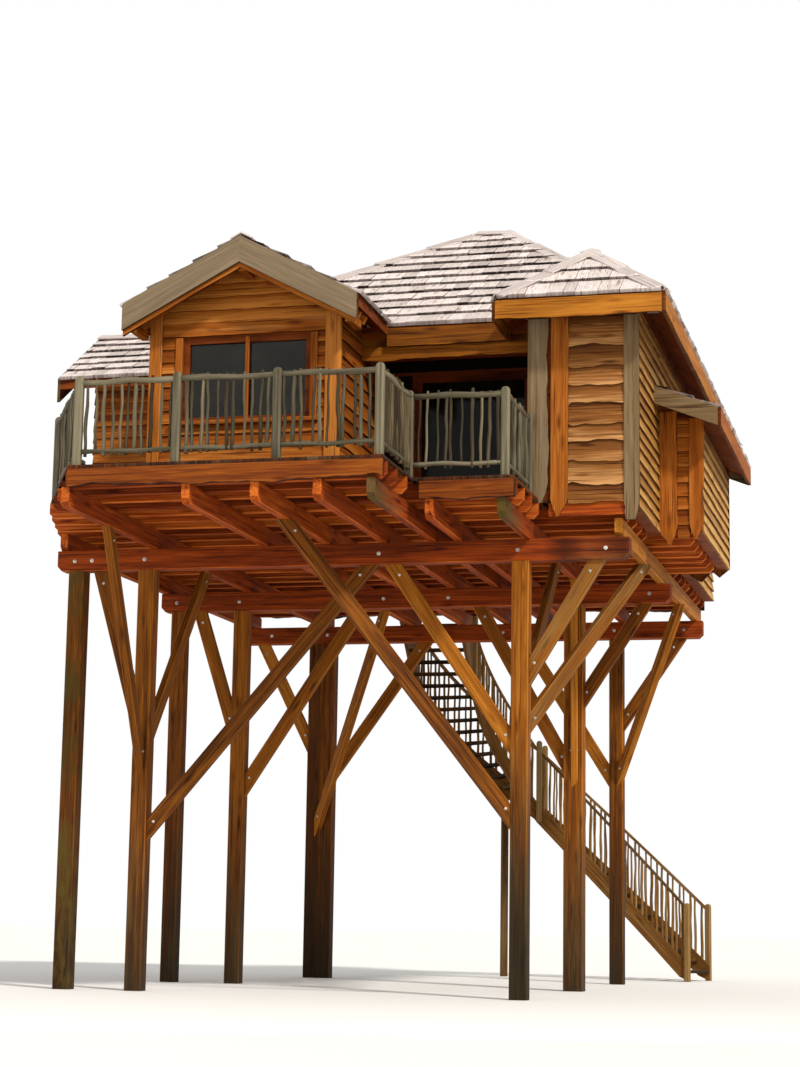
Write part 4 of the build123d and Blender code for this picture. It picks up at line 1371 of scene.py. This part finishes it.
kit = Kit()
rake(kit, front_face(gable_verge), gable_x, gable_half, gable_top, gable_pitch, 0.95)
rake(kit, left_face(wing_verge), -wing_y, wing_half, wing_top, wing_pitch, 0.6)
eave_board = Kit()
outline = rect(bump_roof_front - 0.04, bump_roof_back + 0.04, bump_low - fascia_height, bump_low)
board(eave_board, right_face(bump_eave), outline, (barge_thick, barge_thick), wave=0.006, tone=0.1, grey=0.1)
corners = [
    (side_wall_x, bump_high - fascia_height), (bump_eave, bump_low - fascia_height), (bump_eave, bump_low),
    (side_wall_x, bump_high),
]
mirrored = [(-x, z) for x, z in reversed(corners)]
for face, outline in ((front_face(bump_roof_front), corners), (back_face(bump_roof_back), mirrored)):
    board(kit, face, outline, (barge_thick, barge_thick), tone=0.1, grey=0.3)
make(kit, "barge_boards", weathered_wood, ("bargeboards",))
make(eave_board, "bump_eave_board", clad_wood, ("bargeboards",))

# Under the front gable: inner rake boards, purlin ends and rafter tails
kit = Kit()
inner_face = Face((0, gable_verge + 0.05, -0.06), (1, 0, 0), (0, 0, 1), (0, -1, 0))
rake(kit, inner_face, gable_x, gable_half, gable_top, gable_pitch, 0.1)
for share, drop in ((0.0, 0.36), (-0.92, 0.34), (0.92, 0.34)):
    x = gable_x + share * gable_half
    z = gable_top - abs(share) * gable_half * gable_pitch - drop
    bar(kit, (x, gable_verge + 0.06, z), (x, gable_front_y, z), 0.09, 0.12, tone=0.2)
tail_half = gable_half - 0.05
for sign in (-1, 1):
    fall = Vector((sign * gable_half, 0, -gable_half * gable_pitch)).normalized()
    y = gable_verge + 0.3
    while y < gable_front_y + 0.1:
        foot = Vector((gable_x + sign * tail_half, y, gable_top - tail_half * gable_pitch - 0.23))
        bar(kit, foot, foot - fall * 0.55, 0.06, 0.1, (-fall.z, 0, fall.x), tone=0.1)
        y += 0.26
make(kit, "gable_eave_timbers", clad_wood)

# Railings: crooked branches between round-topped posts
front_line = front_rim_y + rail_inset
left_front_x = left_end(front_rim_y) + rail_inset
step_line_x = step_x - rail_inset
front_bays = 3
front_length = step_line_x - left_front_x
front_xs = [left_front_x + step * front_length / front_bays for step in range(front_bays + 1)]
step_line_y = step_rim_y + rail_inset
bay_rail_x = bay_x - rail_inset - rail_post / 2
left_bends = [(x + rail_inset, y) for y, x in left_edge[1:3]]
terrace_x = deck_left + rail_inset
terrace_y = deck_back - rail_inset
gate_left = stair_head_x - stair_width / 2 - rail_post
gate_right = stair_head_x + stair_width / 2 + rail_post
rail_runs = {
    "front_railing": [[(x, front_line) for x in front_xs]],
    "bay_railing": [[
        (step_line_x, front_line), (step_line_x, step_line_y), (bay_rail_x, step_line_y),
        (bay_rail_x, bay_front_y - rail_post / 2),
    ]],
    "left_railing": [
        [(left_front_x, front_line), *left_bends, (terrace_x, wing_front_y - rail_post / 2)],
    ],
    "terrace_railing": [
        [
            (terrace_x, wing_back_y + rail_post / 2), (terrace_x, (wing_back_y + deck_back) / 2),
            (terrace_x, terrace_y), ((terrace_x + gate_left) / 2, terrace_y), (gate_left, terrace_y),
        ],
        [(gate_right, terrace_y), ((gate_right + bay_x) / 2, terrace_y), (bay_x - rail_post / 2, terrace_y)],
    ],
}


def rail_bay(kit, start, end):
    """Two rails and the branches between them; those at the deck's step are a close palisade."""
    length = hypot(end[0] - start[0], end[1] - start[1])
    run_x = (end[0] - start[0]) / length
    run_y = (end[1] - start[1]) / length
    near = (start[0] + run_x * rail_post * 0.3, start[1] + run_y * rail_post * 0.3)
    far = (end[0] - run_x * rail_post * 0.3, end[1] - run_y * rail_post * 0.3)
    for level, radius, sides, bend in ((rail_top - 0.03, 0.034, 9, 0.012), (rail_low, 0.028, 8, 0.010)):
        stick(kit, (*near, level), (*far, level), radius, sides, 9, bend, 0.8, taper=0.95)
    palisade = start[0] == end[0] == step_line_x
    count = max(2, round(length / (palisade_pitch if palisade else branch_pitch)))
    for branch in range(1, count):
        share = branch / count + rng.uniform(-0.28, 0.28) / count
        x = start[0] + (end[0] - start[0]) * share
        y = start[1] + (end[1] - start[1]) * share
        lean = rng.uniform(-0.02, 0.02)
        foot = (x, y, rail_low - rng.uniform(0.02, 0.07))
        tip = (x + run_x * lean, y + run_y * lean, rail_top + rng.uniform(-0.02, 0.05))
        radius = rng.uniform(0.024, 0.031) if palisade else rng.uniform(0.015, 0.026)
        grey = 0.0 if palisade else rng.choice((0.2, 0.5, 0.7, 0.9))
        stick(kit, foot, tip, radius, 6, 7, 0.009, grey, tone=rng.uniform(-0.8, 0.3))


post_kit = Kit()
seen_posts = []
for name, runs in rail_runs.items():
    kit = Kit()
    for run in runs:
        for start, end in zip(run, run[1:]):
            rail_bay(kit, start, end)
        for x, y in run:
            if (x, y) not in seen_posts:
                seen_posts.append((x, y))
                turn = rng.uniform(-0.1, 0.1)
                upright(
                    post_kit, x, y, floor_top, rail_top + 0.05, rail_post, rail_post,
                    (sin(turn), cos(turn), 0), bevel=0.022, dome=True, grey=0.85, spans=3,
                )
    make(kit, "branch_" + name, grey_wood, (name,), smooth=True)
make(post_kit, "dressed_railing_posts", grey_wood, ("railing_posts",))

# Porch beam with a waney board below it
kit = Kit()
porch_beam_place = (main_front + porch_beam_width, porch_beam_z)
bar(kit, (gable_right_x, *porch_beam_place), (bay_x, *porch_beam_place), porch_beam_width, 0.26)
outline = rect(gable_right_x + 0.02, bay_x, porch_beam_z - 0.14, porch_beam_z + 0.02)
board(kit, front_face(main_front + porch_beam_width / 2), outline, (0.03, 0.03), wave=0.012, tone=0.0)
make(kit, "porch_beam_boards", timber_wood)


# Stair, worked out from the deck down: each joint between treads as X, Y and the tread edge's direction
def tread_turn(index):
    """How many degrees the stair turns on one tread, counted from the foot."""
    if index < lower_treads:
        return lower_turn
    if index < lower_treads + winder_treads:
        return winder_turn
    return 0.0


stair_joints = [(stair_head_x, deck_back, 180.0)]
for index in reversed(range(tread_count)):
    x, y, angle = stair_joints[0]
    heading = radians(angle - tread_turn(index) / 2)
    below = (x + stair_going * sin(heading), y - stair_going * cos(heading), angle - tread_turn(index))
    stair_joints.insert(0, below)


def stair_spot(place, offset):
    """The plan point at a place counted in treads, set off from the stair's centre line."""
    index = min(int(place), tread_count - 1)
    ends = []
    for x, y, angle in stair_joints[index : index + 2]:
        ends.append((x + offset * cos(radians(angle)), y + offset * sin(radians(angle))))
    share = place - index
    return tuple(low + (high - low) * share for low, high in zip(*ends))


def stair_across(place):
    """The direction across the stair at a place."""
    index = min(int(place), tread_count - 1)
    angle = radians(stair_joints[index][2] + tread_turn(index) * (place - index))
    return Vector((cos(angle), sin(angle), 0))


def tread_level(index):
    return riser * (index + 1)


def climb(kit, offset, width, first, last, bottom, top, grey=0.2):
    """A faceted bar that climbs with the stair."""
    points = []
    grain = []
    for index in range(first, last + 1):
        low = max(0.0, tread_level(index) + bottom)
        high = tread_level(index) + top
        run = index * hypot(stair_going, riser)
        for side, z in rect(offset, offset + width, low, high):
            points.append((*stair_spot(index, side), z))
            grain.append((run, side, z - tread_level(index)))
    faces = []
    for base in range(0, (last - first) * 4, 4):
        for corner in range(4):
            beside = (corner + 1) % 4
            faces.append((base + corner, base + 4 + corner, base + 4 + beside, base + beside))
    end = (last - first) * 4
    faces.append((0, 1, 2, 3))
    faces.append((end + 3, end + 2, end + 1, end))
    kit.add(points, faces, grain, None, grey)


stringer_offsets = (-half_stair - stringer_width, half_stair)
kit = Kit()
for offset in stringer_offsets:
    climb(kit, offset, stringer_width, 0, tread_count, stringer_rise - stringer_depth, stringer_rise)
make(kit, "dressed_stringers", stair_wood, ("stair_stringers",))

kit = Kit()
for index in range(tread_count):
    outline = [
        stair_spot(index, -half_stair), stair_spot(index, half_stair),
        stair_spot(index + 1, half_stair), stair_spot(index + 1, -half_stair),
    ]
    across = stair_across(index + 0.5)
    face = level_face(tread_level(index) - tread_thickness)
    board(kit, face, outline, (tread_thickness, tread_thickness), atan2(across.y, across.x), grey=0.3)
make(kit, "dressed_treads", stair_wood, ("stair_treads",))

newel_joints = (0, lower_treads, lower_treads + winder_treads, tread_count)
half_newel = newel_side / 2 / stair_going
newel_offset = half_stair + post_setback + newel_side / 2
kit = Kit()
for offset in (-newel_offset, newel_offset):
    for joint in newel_joints:
        place = (newel_side / 2 - 0.01) / stair_going if joint == 0 else joint - half_newel
        low = 0.0 if joint == 0 else tread_level(joint) + stringer_rise - stringer_depth
        upright(
            kit, *stair_spot(place, offset), low, tread_level(joint) + newel_height, newel_side, newel_side,
            stair_across(place), bevel=0.012, dome=True, tone=0.55, grey=0.45, spans=3,
        )
make(kit, "dressed_newels", stair_wood, ("stair_newels",))

kit = Kit()
rail_bottom = hand_rail_above - hand_rail_depth
for stringer_offset in stringer_offsets:
    offset = stringer_offset + stringer_width / 2
    for first, last in zip(newel_joints, newel_joints[1:]):
        side = offset - hand_rail_width / 2
        climb(kit, side, hand_rail_width, first, last, rail_bottom, hand_rail_above, grey=0.4)
    for place in (index + share for index in range(tread_count) for share in (0.3, 0.7)):
        if min(abs(place - joint) for joint in newel_joints) < 2 * half_newel:
            continue
        foot = (*stair_spot(place, offset), tread_level(place) + 0.02)
        tip_place = min(tread_count, place + rng.uniform(-0.06, 0.06))
        tip = (*stair_spot(tip_place, offset), tread_level(place) + hand_rail_above - 0.02)
        stick(kit, foot, tip, rng.uniform(0.017, 0.024), 6, 5, 0.008, 0.4, tone=rng.uniform(0.0, 0.8))
make(kit, "branch_stair_railings", stair_wood, ("stair_railings",))

kit = Kit()
post_offset = half_stair + post_setback + stair_post_side / 2
post_top = tread_level(stair_post_place) + stringer_rise - stringer_depth / 2
for offset in (-post_offset, post_offset):
    upright(
        kit, *stair_spot(stair_post_place, offset), 0, post_top, stair_post_side, stair_post_side,
        stair_across(stair_post_place), grey=0.35, spans=4,
    )
make(kit, "dressed_stair_posts", stair_wood, ("stair_posts",))

make(bolts, "bolts", bolt_metal)

# Materials of the frame's own solids that stay
wooden_solids = (
    "gable_front_wall", "gable_side_wall", "left_wall", "porch_wall", "bay_side_walls", "bay_end_walls",
    "right_wall", "bump_walls", "rear_wall", "wing_walls", "main_roof", "gable_roof", "wing_roof",
    "bump_roof", "porch_beam", "rear_door", "window_and_door_frames",
)
for names, material in ((wooden_solids, core_wood), (("window_glass", "porch_glass_door"), pane_glass)):
    for name in names:
        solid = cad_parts[name]
        solid.data.materials.clear()
        solid.data.materials.append(material)

# Floor
floor_reach = 120.0
floor_z = -0.002
floor_mesh = bpy.data.meshes.new("pale_floor")
floor_corners = [(x, y, floor_z) for x, y in rect(-floor_reach, floor_reach, -floor_reach, floor_reach)]
floor_mesh.from_pydata(floor_corners, [], [(0, 1, 2, 3)])
pale_floor = bpy.data.objects.new("pale_floor", floor_mesh)
bpy.context.scene.collection.objects.link(pale_floor)
floor_material, floor_nodes, floor_shader = new_material("floor_pale")
floor_nodes.feed(floor_shader, {"Base Color": (0.86, 0.86, 0.85, 1), "Roughness": 0.9})
floor_mesh.materials.append(floor_material)

# World: soft light, and plain white behind the object, in its glass and in its gloss
world = bpy.data.worlds.new("studio")
bpy.context.scene.world = world
world.use_nodes = True
world.node_tree.nodes.clear()
sky = Nodes(world.node_tree)
path = world.node_tree.nodes.new("ShaderNodeLightPath")
seen = sky.math("MAXIMUM", path.outputs["Is Camera Ray"], path.outputs["Is Transmission Ray"])
seen_or_mirrored = sky.math("MAXIMUM", seen, path.outputs["Is Glossy Ray"])
soft = sky.node("Background", "Background", {"Color": (1.0, 0.98, 0.95, 1), "Strength": 0.62})
plain = sky.node("Background", "Background", {"Color": white, "Strength": 1.0})
blend = sky.node("MixShader", "Shader", {"Fac": seen_or_mirrored, 1: soft, 2: plain})
sky.feed(world.node_tree.nodes.new("ShaderNodeOutputWorld"), {"Surface": blend})


# Lamps
def lamp(name, kind, place, target, energy, size, colour):
    """A sun of an angle, or an area lamp of a side, that points at its target."""
    data = bpy.data.lights.new(name, kind)
    data.energy = energy
    data.color = colour
    if kind == "AREA":
        data.size = size
    else:
        data.angle = size
    light = bpy.data.objects.new(name, data)
    light.location = place
    light.rotation_euler = (Vector(target) - Vector(place)).to_track_quat("-Z", "Y").to_euler()
    bpy.context.scene.collection.objects.link(light)


lamp("sun", "SUN", (17, -16, 22), (0, 0, 4), 3.0, radians(6), (1.0, 0.95, 0.86))
lamp("fill", "AREA", (-14, -20, 9), (-2, 2, 5), 700, 12, (1.0, 0.97, 0.92))
lamp("bounce", "AREA", (2, -9, 0.6), (0, 3, 6.2), 230, 9, (1.0, 0.86, 0.7))

# Camera
camera_data = bpy.data.cameras.new("photo_camera")
camera_data.sensor_fit = "HORIZONTAL"
camera_data.sensor_width = sensor_width
camera_data.lens = focal_px / photo_width_px * sensor_width
camera_data.clip_end = 500.0
level_right = Vector((cos(camera_yaw), sin(camera_yaw), 0))
ahead = cos(camera_pitch)
forward = Vector((-sin(camera_yaw) * ahead, cos(camera_yaw) * ahead, sin(camera_pitch)))
level_up = level_right.cross(forward)
camera_right = level_right * cos(camera_roll) + level_up * sin(camera_roll)
camera_up = level_up * cos(camera_roll) - level_right * sin(camera_roll)
turned = Matrix((camera_right, camera_up, -forward)).transposed().to_4x4()
camera = bpy.data.objects.new("photo_camera", camera_data)
camera.matrix_world = Matrix.Translation(Vector(camera_place) + move) @ turned
bpy.context.scene.collection.objects.link(camera)
bpy.context.scene.camera = camera
bpy.context.scene.view_settings.view_transform = "Standard"
